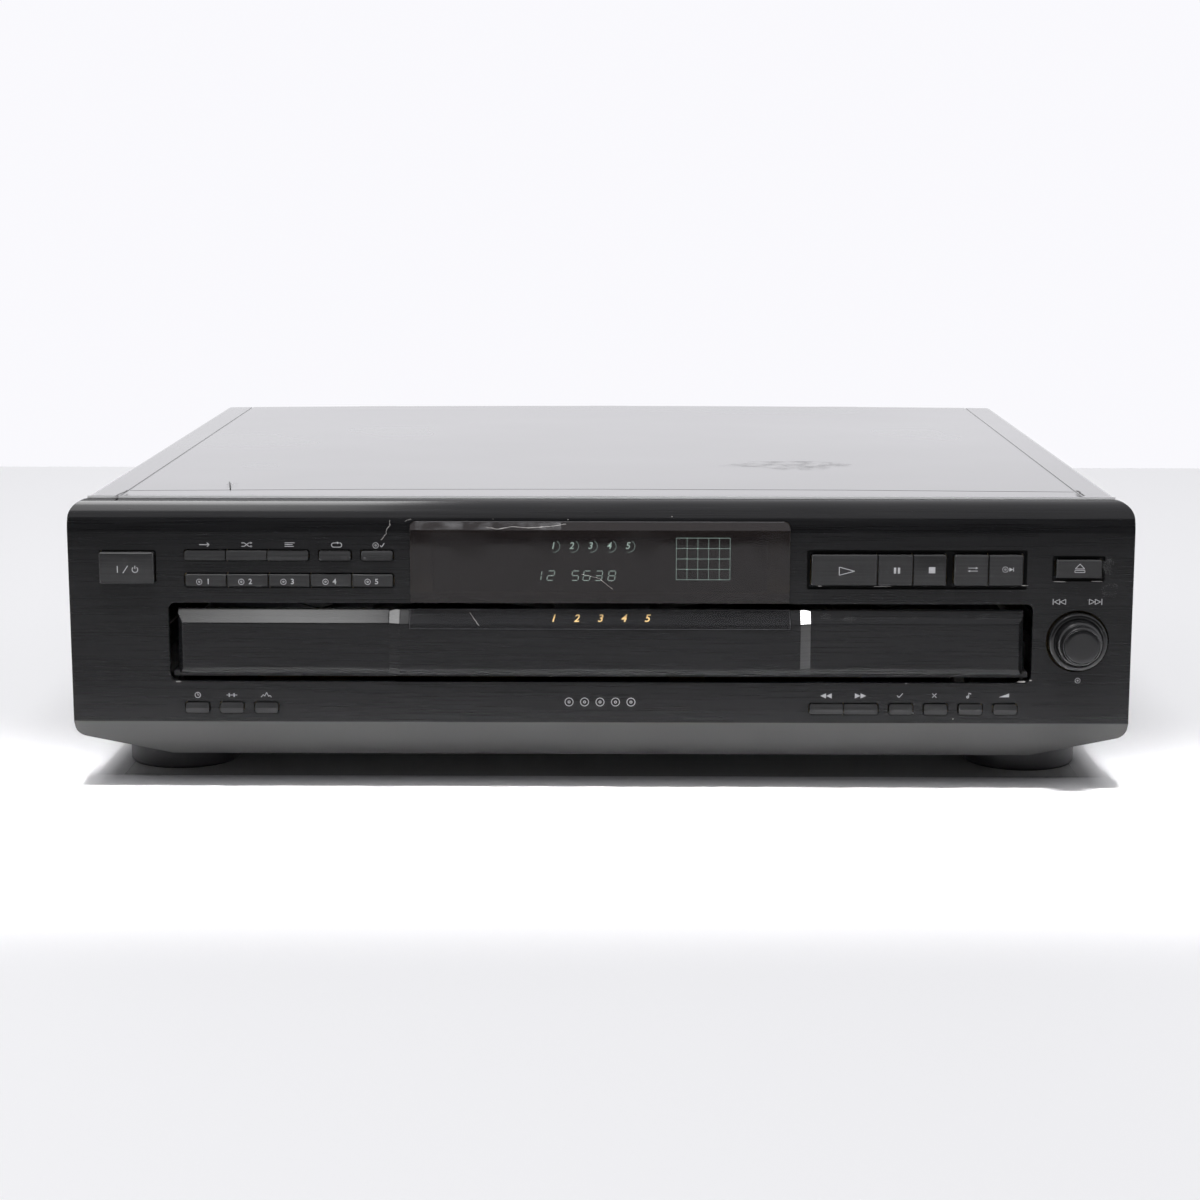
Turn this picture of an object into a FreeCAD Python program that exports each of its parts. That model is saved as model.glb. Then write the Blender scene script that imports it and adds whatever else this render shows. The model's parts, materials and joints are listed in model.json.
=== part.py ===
import FreeCAD, Part

import math
import os

# Five-disc carousel changer, drawer closed. Millimetres. X points right as seen from the front, Y points to
# the back and Z points up. The origin is on the floor, in the middle of the outer box.

# Case. Its width, depth and height follow from what it holds.
panel_side_band = 40.0      # drawer opening to the panel's side
panel_top_band = 7.6        # display window to the panel's top
case_inset = 3.0            # top cover's sides inside the panel's
rear_room = 15.4            # lift frame to the rear panel
top_crown = 1.0             # rise of the top cover's middle above its edges
cover_sheet = 0.8
cover_bend = 4.0            # outer radius along the top cover's two long edges
cover_tab_width = 20.0
cover_tab_drop = 11.0
line_inset = 15.0           # formed lines on the top cover, in from its sides
line_setback = 21.0         # formed line across the top cover, behind its front edge
line_width = 1.0
line_depth = 0.3
base_height = 14.0          # underside of the steel base above the floor
base_sheet = 1.2
base_flange = 12.0
base_shelf_width = 12.9     # the floor rises to a shelf along each side
base_shelf_rise = 7.5
base_slope_run = 6.0
foot_radius = 23.5
foot_top_radius = 21.5
foot_inset = 12.5           # foot's axis inside the floor's edge
front_foot_setback = 57.0
rear_foot_setback = 60.0
screw_radius = 1.5
screw_head_radius = 3.0
screw_head = 1.8
screw_length = 6.0
side_screw_from_front = 60.0
side_screw_from_rear = 20.0
vent_count = 9
vent_length = 40.0
vent_width = 3.0
vent_pitch = 7.0
vent_start = 6.0            # from the floor's edge
rear_vent_length = 16.0
rear_vent_pitch = 22.0
rear_vent_rise = 54.0       # the lower row above the floor of the base
rear_screw_inset = 20.0
rear_screw_x = 60.0

# Fits
slip = 0.3                  # between pieces that pass each other
shaft_gap = 0.05            # all round a shaft in its bore
screw_gap = 0.1             # all round a screw in its hole

# Front panel
panel_wall = 3.0
panel_roll = 12.0           # radius of the rolled top edge
panel_flat = 0.5            # behind the roll
lip_depth = 24.0            # how far its bottom lip reaches back
lower_band = 16.6           # top of the chin to the drawer opening
chin_drop = 1.3             # chin's bottom below the steel base
chin_setback = 11.5
chin_half_length = 177.0    # the straight part of the bottom edge
chin_rise_angle = 14.0
panel_top_corner = 6.5
panel_low_corner = 5.0

# Drawer opening and drawer front
opening_height = 32.7
opening_corner = 3.0
front_side_gap = 3.5
front_bottom_gap = 3.3
front_top_gap = 2.8
front_plate = 4.0
top_bevel_height = 5.6
top_bevel_depth = 3.2
low_bevel_height = 2.5
low_bevel_depth = 1.1
side_bevel = 2.0
bulge_half = 81.0
bulge_flank = 4.6
bulge_proud = 1.8
lens_half = 77.0
lens_height = 7.5
lens_thickness = 2.0
lens_proud = 0.4

# Display window
window_half = 76.5
window_height = 33.0
window_proud = 2.0
window_bevel = 3.4
window_bevel_depth = 2.2
window_corner = 2.5
window_wall = 2.0
window_gap = 0.15
window_bottom_gap = 0.4     # above the top of the drawer opening

# Keys: heights of the rows above the drawer opening, and each key's width
key_gap = 0.3               # behind a key's flange and at its switch
key_hole_gap = 0.55         # all round a group of keys in the panel
key_corner = 0.8            # rounds the outer corners of a group of keys
key_travel = 0.8
key_flange = 1.2
key_flange_reach = 1.0
stem_radius = 1.4
group_gap = 7.0             # from the display window to the keys beside it
upper_row_rise = 19.5
upper_key_height = 3.8
mode_gap = 4.4              # between the mode keys and the repeat key
upper_single_width = 12.7
upper_single_gap = 4.3
disc_row_rise = 9.25
disc_key_height = 5.1
disc_key_width = 16.5
disc_key_count = 5
joined_gap = 0.4            # between keys that share one hole
power_inset = 13.1          # from the panel's side to the power key
power_width = 22.0
power_height = 12.8
power_rise = 14.5
play_row_rise = 14.0
play_key_height = 12.5
play_width = 26.4
pause_width = 13.8
stop_width = 13.1
pair_gap = 3.3              # between the play keys and the exchange keys
exchange_width = 13.6
play_recess_margin = 1.8
recess_depth = 0.8
open_rise = 14.6
open_width = 18.2
open_height = 7.4
open_inset = 13.1
low_row_rise = 5.9          # above the top of the chin
low_key_height = 4.1
low_key_width = 9.4
low_left_inset = 6.2        # first lower key's outer edge inside the drawer opening
low_right_inset = 5.6
low_pitch = 14.1
low_right_gap = 4.7         # between the rewind keys and the check key
rewind_width = 13.6
proud_low_keys = 1.2
proud_upper_keys = 1.5
proud_disc_keys = 0.8
proud_play_keys = 1.6
proud_open_key = 1.6
proud_power_key = 3.2

# Circuit boards and switches behind the panel
board_sheet = 1.6
board_setback = 12.0        # front face of the panel to the boards behind it
upper_board_gap = 2.0       # above the drawer opening
upper_board_height = 32.0
lower_board_gap = 2.8       # below the drawer opening
lower_board_height = 20.0
knob_board_drop = 20.0      # board's leg below the knob's axis
board_margin = 8.0
switch_size = 5.0
switch_height = 3.4
plunger_radius = 1.4
plunger_height = 1.0
board_post_radius = 2.5
tube_half = 68.0
tube_height = 22.0
tube_thickness = 7.0

# Jog knob
knob_inset = 21.8           # from the panel's side to the knob's axis
knob_rise = 17.5            # above the bottom of the drawer opening
knob_hole_radius = 12.75
knob_radius = 11.85
knob_neck_radius = 9.2
knob_cap_radius = 8.0
knob_protrusion = 12.0
knob_base_proud = 3.2
knob_travel = 0.6
knob_shaft_radius = 3.0
knob_flat = 2.2             # from the axis to the shaft's flat
encoder_size = 13.0
encoder_height = 7.0
rotor_radius = 4.5
rotor_length = 6.0
rotor_proud = 1.0           # rotor's front in front of its housing
knob_back_gap = 1.4         # pushed knob's base to the rotor

# Rotary table
disc_radius = 60.0
small_disc_radius = 40.0
disc_play_gap = 0.6         # all round a disc in its well
well_web = 1.766            # between two wells
table_rim = 2.8             # outside the wells
table_skin = 2.5
table_gap = 5.5             # between the drawer's floor and the table's underside
small_well_drop = 1.5
well_depth = 5.5
well_count = 5
table_front_gap = 10.0      # table's edge behind the drawer front's back
hub_radius = 9.0
hub_post_radius = 5.0
hub_flange = 1.0
track_radius = 70.0
sector_start = 30.0         # middle of the table, where its sectors begin
track_width = 6.0
pad_radius = 4.0
cap_radius = 20.0
cap_height = 2.5
cap_pin_radius = 2.5

# Drawer frame
tray_clearance = 1.7        # above the bottom of the opening
tray_floor = 2.0
tray_wall = 2.0
tray_rail = 2.5             # width of the running flange on each side
tray_rim_gap = 1.5
tray_travel = 250.0

# Gears
gear_module = 1.0
gear_addendum = 0.8
gear_dedendum = 1.05
gear_backlash = 0.2
pressure_angle = 20.0
table_teeth = 42
small_teeth = 14
loading_teeth = 28
gear_width = 4.0
table_motor_radius = 10.0
rack_inset = 24.5           # inside the deck's wall
axle_radius = 2.0
motor_shaft_radius = 1.0
loading_motor_radius = 9.2

# Mechanism deck
deck_wall = 2.0
deck_floor = 2.0
deck_gap = 0.5              # between the drawer's running flange and the deck's walls
ledge_width = 14.0
ledge_thickness = 2.5
deck_front_gap = 2.5        # behind the base's front wall
deck_rear_gap = 5.0
deck_wall_rise = 8.0        # above the drawer's floor
deck_floor_lead = 28.0      # deck's floor in front of the lift frame
deck_beam = 10.0
lip_length = 16.0
lip_thickness = 2.0
lip_reach = 2.3

# Clamp bridge and clamper
bridge_width = 58.0
bridge_sheet = 1.5
bridge_flange = 6.0
clamper_radius = 15.0
clamper_face = 3.0
clamper_neck_radius = 9.0
clamper_hole_radius = 11.0
clamper_flange_radius = 14.0
clamper_flange = 2.5
clamper_seat = 0.7          # raised ring on the bridge under the clamper's flange
clamp_gap = 0.7             # turntable raised with no disc to the clamper
clamper_recess_gap = 0.5    # over the raised turntable's cone
clamper_float = 1.8         # clamper's face plate to the bridge

# Lift
disc_lift = 1.0             # playing disc above the table's top
lift_clearance = 1.0        # lowered turntable's cone below the drawer
turntable_radius = 15.0
turntable_thickness = 4.0
cone_height = 2.5
cone_radius = 7.4
cone_tip_radius = 6.3
lift_half = 27.0
lift_front = 22.0           # spindle to the frame's front
lift_floor_gap = 2.8        # lowered lift frame above the deck's floor
lift_wall = 2.5
lift_plate_drop = 7.0       # disc's underside to the frame's plate
lift_plate = 2.5
lift_skirt_drop = 23.5
lift_flange = 2.5
slot_gap = 3.5
slot_corner = 1.0
spindle_motor_radius = 12.0
spindle_motor_height = 12.0
sled_motor_radius = 3.4
sled_motor_length = 20.0
bush_radius = 4.5
bush_gap = 3.5              # between the frame's side and a bush
bush_rim = 1.5              # flange outside a bush
post_radius = 2.0
front_post_from_spindle = -14.0
rear_post_from_spindle = 61.0
rail_inset = 4.5            # inside the frame's side
rail_drop = 13.0
rail_radius = 1.5
lens_start = 23.0           # playing radius at the start of a disc
lens_end = 58.0
pickup_front = 6.5
pickup_back = 16.0
pickup_end_gap = 2.5        # pickup at its last place to the frame's back wall
pickup_height = 11.0
pickup_drop = 4.0
lens_radius = 3.5
lens_drop = 2.0
cam_plate = 2.0
cam_gap = 1.5               # flange to the cam plate
cam_pin_radius = 1.2
cam_slot_gap = 0.1
cam_travel = 32.0
cam_margin = 5.0
cam_front_from_spindle = -8.6
cam_pin_pitch = 46.0

# Rear panel
jack_protrusion = 7.0
jack_collar = 0.6            # on the rear panel, round each jack
jack_collar_radius = 5.8
jack_x = 140.0
jack_spacing = 20.0
jack_z = 34.0
jack_radius = 4.15
jack_bore_radius = 1.6
jack_block = 11.0
gland_x = 150.0
gland_z = 34.0
gland_radius = 7.0
gland_flange_radius = 9.0
gland_flange = 2.0
gland_bore_radius = 3.7
gland_inside = 8.0
gland_outside = 6.0
jack_notch_half = 24.0      # notches in the base's back wall
gland_notch_half = 14.0
notch_rise = 6.0            # above the base's floor

# Main board and transformer
main_board_rise = 4.8       # above the base's floor
main_board_front = 44.0     # front face of the panel to the main board
main_board_gap = 2.6        # in front of the deck's floor
board_peg_radius = 3.0
board_peg_inset = 6.0
main_board_left = 158.0
main_board_right = 118.0

# Capacitors on the main board, from its front left corner: x, y, radius, height
board_cans = [
    (18.0, 30.0, 8.0, 20.0),
    (40.0, 30.0, 8.0, 20.0),
    (18.0, 52.0, 6.0, 16.0),
    (38.0, 52.0, 6.0, 16.0),
    (198.0, 150.0, 4.0, 9.0),
    (212.0, 150.0, 4.0, 9.0),
    (226.0, 150.0, 4.0, 9.0),
    (240.0, 150.0, 4.0, 9.0),
]

# Chips, connectors and a heat sink on the main board: x, y, width, length, height
board_blocks = [
    (98.0, 70.0, 20.0, 20.0, 2.4),
    (148.0, 60.0, 14.0, 26.0, 2.6),
    (188.0, 70.0, 16.0, 10.0, 2.4),
    (50.0, 94.0, 40.0, 3.0, 18.0),
    (218.0, 120.0, 24.0, 8.0, 3.0),
    (98.0, 140.0, 26.0, 6.0, 8.0),
    (158.0, 140.0, 26.0, 6.0, 8.0),
    (228.0, 20.0, 30.0, 6.0, 8.0),
]

transformer_width = 26.0
transformer_length = 54.0
transformer_height = 42.0
transformer_from_rear = 70.0
coil_width = 28.0
coil_length = 30.0
coil_height = 34.0
bracket_length = 70.0
bracket_sheet = 1.5
bracket_hole_inset = 4.0
bracket_hole_radius = 2.0

# Places that follow from the sizes. Widths and depths:
well_pitch_radius = (disc_radius + disc_play_gap + well_web / 2) / math.sin(math.pi / well_count)
table_radius = well_pitch_radius + disc_radius + disc_play_gap + table_rim
tray_half = table_radius + tray_rim_gap + tray_wall
rail_half = tray_half + tray_rail
front_half = tray_half
opening_half = front_half + front_side_gap
panel_half = opening_half + panel_side_band
panel_width = 2 * panel_half
case_half = panel_half - case_inset
case_width = 2 * case_half
base_half = case_half - cover_sheet - slip
base_floor_half = base_half - base_shelf_width - base_slope_run
foot_x = base_floor_half - foot_inset
deck_inner = rail_half + deck_gap
deck_outer = deck_inner + deck_wall
rack_x = deck_inner - rack_inset
knob_x = panel_half - knob_inset
slot_half = lift_half + slot_gap
post_x = lift_half + bush_gap + bush_radius
lift_flange_half = post_x + bush_radius + bush_rim
rail_x = lift_half - lift_wall - rail_inset
pickup_half = rail_x - rail_radius - 1

panel_depth = panel_roll + panel_flat
lift_rear = lens_end + pickup_back + pickup_end_gap + lift_wall
case_depth = front_plate + table_front_gap + table_radius + well_pitch_radius + lift_rear + rear_room
face_y = knob_protrusion - (knob_protrusion + case_depth + jack_protrusion) / 2
rear_y = face_y + case_depth
inner_y = face_y + panel_wall
rear_inner_y = rear_y - cover_sheet
cover_front = face_y + panel_depth + slip
base_front = face_y + lip_depth + slip
board_y = face_y + board_setback
front_back_y = face_y + front_plate
table_y = front_back_y + table_front_gap + table_radius
tray_rear = table_y + table_radius + tray_rim_gap + tray_wall
spindle_y = table_y + well_pitch_radius
lift_front_y = spindle_y - lift_front
lift_rear_y = spindle_y + lift_rear
slot_front_y = lift_front_y - slot_gap
deck_front = base_front + base_sheet + deck_front_gap
deck_rear = rear_y - deck_rear_gap
deck_floor_front = lift_front_y - deck_floor_lead
main_board_front_y = face_y + main_board_front
main_board_rear_y = deck_floor_front - main_board_gap

# Heights, from the floor up:
base_top = base_height + base_sheet
base_shelf = base_height + base_shelf_rise
base_flange_top = base_shelf + base_flange
side_screw_z = base_flange_top - base_flange / 2
deck_floor_top = base_top + deck_floor
lift_low = deck_floor_top + lift_floor_gap
low_z = lift_low + lift_skirt_drop
tray_bottom = low_z + cone_height + lift_clearance
tray_floor_top = tray_bottom + tray_floor
table_under = tray_floor_top + table_gap
small_seat_z = table_under + table_skin
seat_z = small_seat_z + small_well_drop
table_top = seat_z + well_depth
play_z = table_top + disc_lift
lift_travel = play_z - low_z
clamp_face_z = play_z + clamp_gap
bridge_z = clamp_face_z + clamper_face + clamper_float
deck_wall_top = tray_floor_top + deck_wall_rise
opening_bottom = tray_bottom - tray_clearance
opening_top = opening_bottom + opening_height
crease_z = opening_bottom - lower_band
chin_bottom = base_height - chin_drop
front_bottom = opening_bottom + front_bottom_gap
front_top = opening_top - front_top_gap
window_bottom = opening_top + window_bottom_gap
window_top = window_bottom + window_height
panel_top = window_top + panel_top_band
total_height = panel_top + top_crown
cover_screw_z = panel_top - cover_sheet - cover_tab_drop / 2
upper_board_bottom = opening_top + upper_board_gap
upper_board_top = upper_board_bottom + upper_board_height
lower_board_top = opening_bottom - lower_board_gap
lower_board_bottom = lower_board_top - lower_board_height
knob_z = opening_bottom + knob_rise
main_board_z = base_top + main_board_rise

# Gears:
loading_radius = gear_module * loading_teeth / 2
small_radius = gear_module * small_teeth / 2
table_gear_radius = gear_module * table_teeth / 2
rack_pitch_z = tray_bottom + gear_addendum * gear_module
loading_y = deck_front + loading_radius
loading_z = rack_pitch_z - loading_radius
pinion_y = loading_y + loading_radius + small_radius
drive_y = table_y - table_gear_radius - small_radius
hub_bottom = tray_floor_top + hub_flange + slip
drive_gear_z = small_seat_z

X = FreeCAD.Vector(1, 0, 0)
Y = FreeCAD.Vector(0, 1, 0)
Z = FreeCAD.Vector(0, 0, 1)


# Shapes used throughout

def point(x, y, z):
    return FreeCAD.Vector(x, y, z)


def box(x0, x1, y0, y1, z0, z1):
    return Part.makeBox(x1 - x0, y1 - y0, z1 - z0, point(x0, y0, z0))


def rod(radius, start, direction, length):
    return Part.makeCylinder(radius, length, start, direction)


def tube(outer, inner, start, direction, length):
    return rod(outer, start, direction, length).cut(rod(inner, start, direction, length))


def join(shapes):
    return shapes[0].fuse(shapes[1:]).removeSplitter()


def both_sides(shape):
    return [shape, shape.mirror(point(0, 0, 0), X)]


def prism(corners, along):
    return Part.Face(Part.makePolygon(corners + corners[:1])).extrude(along)


def side_prism(corners, x0, x1):
    """A side view, given as (y, z) corners, drawn out from x0 to x1."""
    return prism([point(x0, y, z) for y, z in corners], point(x1 - x0, 0, 0))


def plan_prism(corners, z0, z1):
    """A plan view, given as (x, y) corners, drawn up from z0 to z1."""
    return prism([point(x, y, z0) for x, y in corners], point(0, 0, z1 - z0))


def rounded_wire(corners):
    """A closed outline. Each corner is a point and the radius that rounds it."""
    starts = []
    edges = []
    finishes = []
    for i, (here, radius) in enumerate(corners):
        to_before = (corners[i - 1][0] - here).normalize()
        to_after = (corners[(i + 1) % len(corners)][0] - here).normalize()
        half = to_before.getAngle(to_after) / 2
        reach = radius / math.tan(half)
        start = here + to_before * reach
        finish = here + to_after * reach
        if radius > 0:
            inward = (to_before + to_after).normalize()
            middle = here + inward * (radius / math.sin(half) - radius)
            edges.append(Part.Arc(start, middle, finish).toShape())
        starts.append(start)
        finishes.append(finish)
    for i, finish in enumerate(finishes):
        start = starts[(i + 1) % len(starts)]
        if finish.distanceToPoint(start) > 1e-6:
            edges.append(Part.makeLine(finish, start))
    return Part.Wire(Part.__sortEdges__(edges))


def front_plate_shape(x0, x1, z0, z1, low_radius, top_radius, y0, y1):
    """A front view with rounded corners, drawn back from y0 to y1."""
    corners = [
        (point(x0, y0, z0), low_radius),
        (point(x1, y0, z0), low_radius),
        (point(x1, y0, z1), top_radius),
        (point(x0, y0, z1), top_radius),
    ]
    return Part.Face(rounded_wire(corners)).extrude(point(0, y1 - y0, 0))


def softened(shape, size, picks):
    """Chamfers the edges whose middle the test picks."""
    edges = [edge for edge in shape.Edges if picks(edge.CenterOfMass)]
    return shape.makeChamfer(size, edges)


def gear(teeth, width, first_angle):
    """A spur gear about Z. first_angle is the direction of one tooth, in degrees."""
    pitch = gear_module * teeth / 2
    base = pitch * math.cos(math.radians(pressure_angle))
    tip = pitch + gear_addendum * gear_module
    root = pitch - gear_dedendum * gear_module
    spread = math.tan(math.radians(pressure_angle)) - math.radians(pressure_angle)
    half_at_pitch = math.pi / (2 * teeth) - gear_backlash / (4 * pitch)

    def half_angle(radius):
        roll = math.acos(min(1.0, base / radius))
        return half_at_pitch + spread - (math.tan(roll) - roll)

    radii = [root, max(base, root), pitch, (pitch + tip) / 2, tip]
    corners = []
    for i in range(teeth):
        middle = math.radians(first_angle) + 2 * math.pi * i / teeth
        flank = [(radius, half_angle(max(radius, base))) for radius in radii]
        for radius, half in flank:
            corners.append((radius, middle - half))
        for radius, half in reversed(flank):
            corners.append((radius, middle + half))
    outline = []
    for radius, angle in corners:
        here = point(radius * math.cos(angle), radius * math.sin(angle), 0)
        if not outline or here.distanceToPoint(outline[-1]) > 1e-6:
            outline.append(here)
    return prism(outline, point(0, 0, width))


def meshing_angle(teeth, first_angle, other_teeth, direction):
    """The first tooth's angle of a gear that meshes, in the given direction, with another."""
    pitch = 360.0 / teeth
    past_tooth = ((direction - first_angle) / pitch) % 1.0
    return direction + 180.0 + (past_tooth + 0.5) * 360.0 / other_teeth


def upright_to_x(shape):
    """Turns a shape about Z into one about X. Its direction at 180 degrees ends up pointing up."""
    turned = shape.copy()
    turned.rotate(point(0, 0, 0), Y, 90)
    return turned


def moved(shape, x, y, z):
    copy = shape.copy()
    copy.translate(point(x, y, z))
    return copy


# Keys

def key_layout():
    """Every key as name: (left, right, bottom, top, how far it stands out, how its front is shaped)."""
    keys = {}

    def row(names, left, widths, gap, centre_z, height, proud, form):
        for name, width in zip(names, widths):
            keys[name] = (left, left + width, centre_z - height / 2, centre_z + height / 2, proud, form)
            left += width + gap

    power_left = power_inset - panel_half
    power_z = opening_top + power_rise
    row(["power_key"], power_left, [power_width], 0, power_z, power_height, proud_power_key, "flat")

    disc_pitch = disc_key_width + joined_gap
    disc_left = -window_half - group_gap - disc_pitch * disc_key_count + joined_gap
    disc_names = ["disc_%d_key" % (i + 1) for i in range(disc_key_count)]
    disc_widths = [disc_key_width] * disc_key_count
    row(disc_names, disc_left, disc_widths, joined_gap, opening_top + disc_row_rise, disc_key_height,
        proud_disc_keys, "flat")

    upper_row_z = opening_top + upper_row_rise
    check_left = -window_half - group_gap - upper_single_width
    repeat_left = check_left - upper_single_gap - upper_single_width
    mode_names = ["continue_key", "shuffle_key", "program_key"]
    mode_count = len(mode_names)
    mode_width = (repeat_left - mode_gap - disc_left - joined_gap * (mode_count - 1)) / mode_count
    row(mode_names, disc_left, [mode_width] * mode_count, joined_gap, upper_row_z, upper_key_height,
        proud_upper_keys, "ridge")
    single_widths = [upper_single_width] * 2
    row(["repeat_key", "disc_check_key"], repeat_left, single_widths, upper_single_gap, upper_row_z,
        upper_key_height, proud_upper_keys, "ridge")

    play_left = window_half + group_gap + play_recess_margin
    play_row_z = opening_top + play_row_rise
    play_widths = [play_width, pause_width, stop_width]
    row(["play_key", "pause_key", "stop_key"], play_left, play_widths, joined_gap, play_row_z,
        play_key_height, proud_play_keys, "flat")
    exchange_left = play_left + sum(play_widths) + 2 * joined_gap + pair_gap
    row(["exchange_key", "disc_skip_key"], exchange_left, [exchange_width] * 2, joined_gap, play_row_z,
        play_key_height, proud_play_keys, "flat")

    open_left = panel_half - open_inset - open_width
    open_z = opening_top + open_rise
    row(["open_close_key"], open_left, [open_width], 0, open_z, open_height, proud_open_key, "flat")

    low_row_z = crease_z + low_row_rise
    low_gap = low_pitch - low_key_width
    left_names = ["time_key", "edit_key", "peak_search_key"]
    row(left_names, low_left_inset - opening_half, [low_key_width] * len(left_names), low_gap, low_row_z,
        low_key_height, proud_low_keys, "ridge")
    right_names = ["check_key", "clear_key", "music_scan_key", "fader_key"]
    right_start = opening_half - low_right_inset - low_key_width - low_pitch * (len(right_names) - 1)
    rewind_start = right_start - low_right_gap - 2 * rewind_width - joined_gap
    row(["rewind_key", "forward_key"], rewind_start, [rewind_width] * 2, joined_gap, low_row_z,
        low_key_height, proud_low_keys, "ridge")
    row(right_names, right_start, [low_key_width] * len(right_names), low_gap, low_row_z, low_key_height,
        proud_low_keys, "ridge")
    return keys


key_rows = key_layout()

# Keys that share one hole in the panel
key_groups = [
    ["power_key"],
    ["continue_key", "shuffle_key", "program_key"],
    ["repeat_key"],
    ["disc_check_key"],
    ["disc_%d_key" % (i + 1) for i in range(disc_key_count)],
    ["play_key", "pause_key", "stop_key"],
    ["exchange_key", "disc_skip_key"],
    ["open_close_key"],
    ["time_key"],
    ["edit_key"],
    ["peak_search_key"],
    ["rewind_key", "forward_key"],
    ["check_key"],
    ["clear_key"],
    ["music_scan_key"],
    ["fader_key"],
]
recess_corner = 0.8


def group_box(names):
    """The outline of a group of keys: left, right, bottom, top."""
    first = key_rows[names[0]]
    last = key_rows[names[-1]]
    return first[0], last[1], first[2], first[3]


def group_outline(name, y0, y1):
    """The group that a key belongs to, as a plate with rounded corners."""
    for names in key_groups:
        if name in names:
            left, right, low, high = group_box(names)
            return front_plate_shape(left, right, low, high, key_corner, key_corner, y0, y1)


def key(name):
    left, right, low, high, proud, form = key_rows[name]
    front = face_y - proud
    flange_y = inner_y + key_gap
    stem_end = board_y - switch_height - plunger_height - key_travel - key_gap
    cap = box(left, right, front, flange_y, low, high).common(group_outline(name, front, flange_y))
    if form == "ridge":
        middle = (low + high) / 2
        back = front + proud * 0.6
        cap = cap.cut(side_prism([(front, middle), (back, high), (front - 1, high + 1), (front - 1, middle)],
                                 left - 1, right + 1))
    else:
        cap = softened(cap, 0.35, lambda c: abs(c.y - front) < 1e-6)
    flange_low = low - key_flange_reach
    flange_high = high + key_flange_reach
    flange = box(left, right, flange_y, flange_y + key_flange, flange_low, flange_high)
    start = point((left + right) / 2, flange_y + key_flange, (low + high) / 2)
    return join([cap, flange, rod(stem_radius, start, Y, stem_end - start.y)])


# Case

def panel_side_wire(inset, back_extra):
    """Side view of the front panel, drawn inwards by inset."""
    lean = math.atan2(chin_setback, crease_z - chin_bottom)
    roll = panel_roll - inset
    roll_y = face_y + panel_roll
    roll_z = panel_top - panel_roll
    slant = roll * math.sqrt(0.5)
    top_back = point(0, face_y + panel_depth + back_extra, panel_top - inset)
    roll_start = point(0, roll_y, panel_top - inset)
    roll_middle = point(0, roll_y - slant, roll_z + slant)
    roll_end = point(0, face_y + inset, roll_z)
    crease = point(0, face_y + inset, crease_z + inset * math.tan(lean / 2))
    chin_y = face_y + chin_setback + inset * math.tan((math.pi / 2 - lean) / 2)
    chin = point(0, chin_y, chin_bottom + inset)
    low_back = point(0, face_y + lip_depth + back_extra, chin_bottom + inset)
    step_z = chin_bottom + panel_wall
    edges = [
        Part.makeLine(top_back, roll_start),
        Part.Arc(roll_start, roll_middle, roll_end).toShape(),
        Part.makeLine(roll_end, crease),
        Part.makeLine(crease, chin),
        Part.makeLine(chin, low_back),
    ]
    if back_extra:
        edges.append(Part.makeLine(low_back, point(0, low_back.y, top_back.z)))
        edges.append(Part.makeLine(point(0, low_back.y, top_back.z), top_back))
    else:
        step_back = point(0, low_back.y, step_z)
        step_front = point(0, top_back.y, step_z)
        edges.append(Part.makeLine(low_back, step_back))
        edges.append(Part.makeLine(step_back, step_front))
        edges.append(Part.makeLine(step_front, top_back))
    return Part.Wire(edges)


def panel_front_wire():
    """Front view of the front panel's outline."""
    rise = (panel_half - chin_half_length) * math.tan(math.radians(chin_rise_angle))
    y = face_y - 1
    corners = []
    for x, z, radius in [
        (-chin_half_length, chin_bottom, 0),
        (chin_half_length, chin_bottom, 0),
        (panel_half, chin_bottom + rise, panel_low_corner),
        (panel_half, panel_top, panel_top_corner),
        (-panel_half, panel_top, panel_top_corner),
        (-panel_half, chin_bottom + rise, panel_low_corner),
    ]:
        corners.append((point(x, y, z), radius))
    return rounded_wire(corners)


def front_panel():
    depth = point(0, 2 * lip_depth, 0)
    outline = panel_front_wire()
    outer = Part.Face(panel_side_wire(0, 0)).extrude(point(panel_width, 0, 0))
    outer = moved(outer, -panel_half, 0, 0).common(Part.Face(outline).extrude(depth))
    inner = Part.Face(panel_side_wire(panel_wall, 5)).extrude(point(panel_width, 0, 0))
    inner = moved(inner, -panel_half, 0, 0)
    inner = inner.common(Part.Face(outline.makeOffset2D(-panel_wall)).extrude(depth))
    shell = outer.cut(inner)
    y0 = face_y - 1
    y1 = inner_y + 1
    cuts = [
        front_plate_shape(-opening_half, opening_half, opening_bottom, opening_top, opening_corner,
                          opening_corner, y0, y1),
        front_plate_shape(-window_half - window_gap, window_half + window_gap, opening_top - 1,
                          window_top + window_gap, 0, window_corner + window_gap, y0, y1),
        rod(knob_hole_radius, point(knob_x, y0, knob_z), Y, y1 - y0),
    ]
    for names in key_groups:
        left, right, low, high = group_box(names)
        gap = key_hole_gap
        corner = key_corner + gap
        cuts.append(front_plate_shape(left - gap, right + gap, low - gap, high + gap, corner, corner, y0, y1))
    for left, right, low, high in recesses():
        cuts.append(front_plate_shape(left, right, low, high, recess_corner, recess_corner, y0,
                                      face_y + recess_depth))
    posts = []
    for x, z in board_post_places():
        posts.append(rod(board_post_radius, point(x, inner_y, z), Y, board_y - inner_y))
    return join([shell.cut(cuts)] + posts)


def recesses():
    """Shallow recesses round the play keys and the open and close key."""
    margin = play_recess_margin
    left = key_rows["play_key"][0] - margin
    right = key_rows["disc_skip_key"][1] + margin
    low, high = key_rows["play_key"][2:4]
    found = [(left, right, low - margin, high + margin)]
    left, right, low, high = key_rows["open_close_key"][:4]
    margin = margin - 0.3
    found.append((left - margin, right + margin, low - margin, high + margin))
    return found


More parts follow.
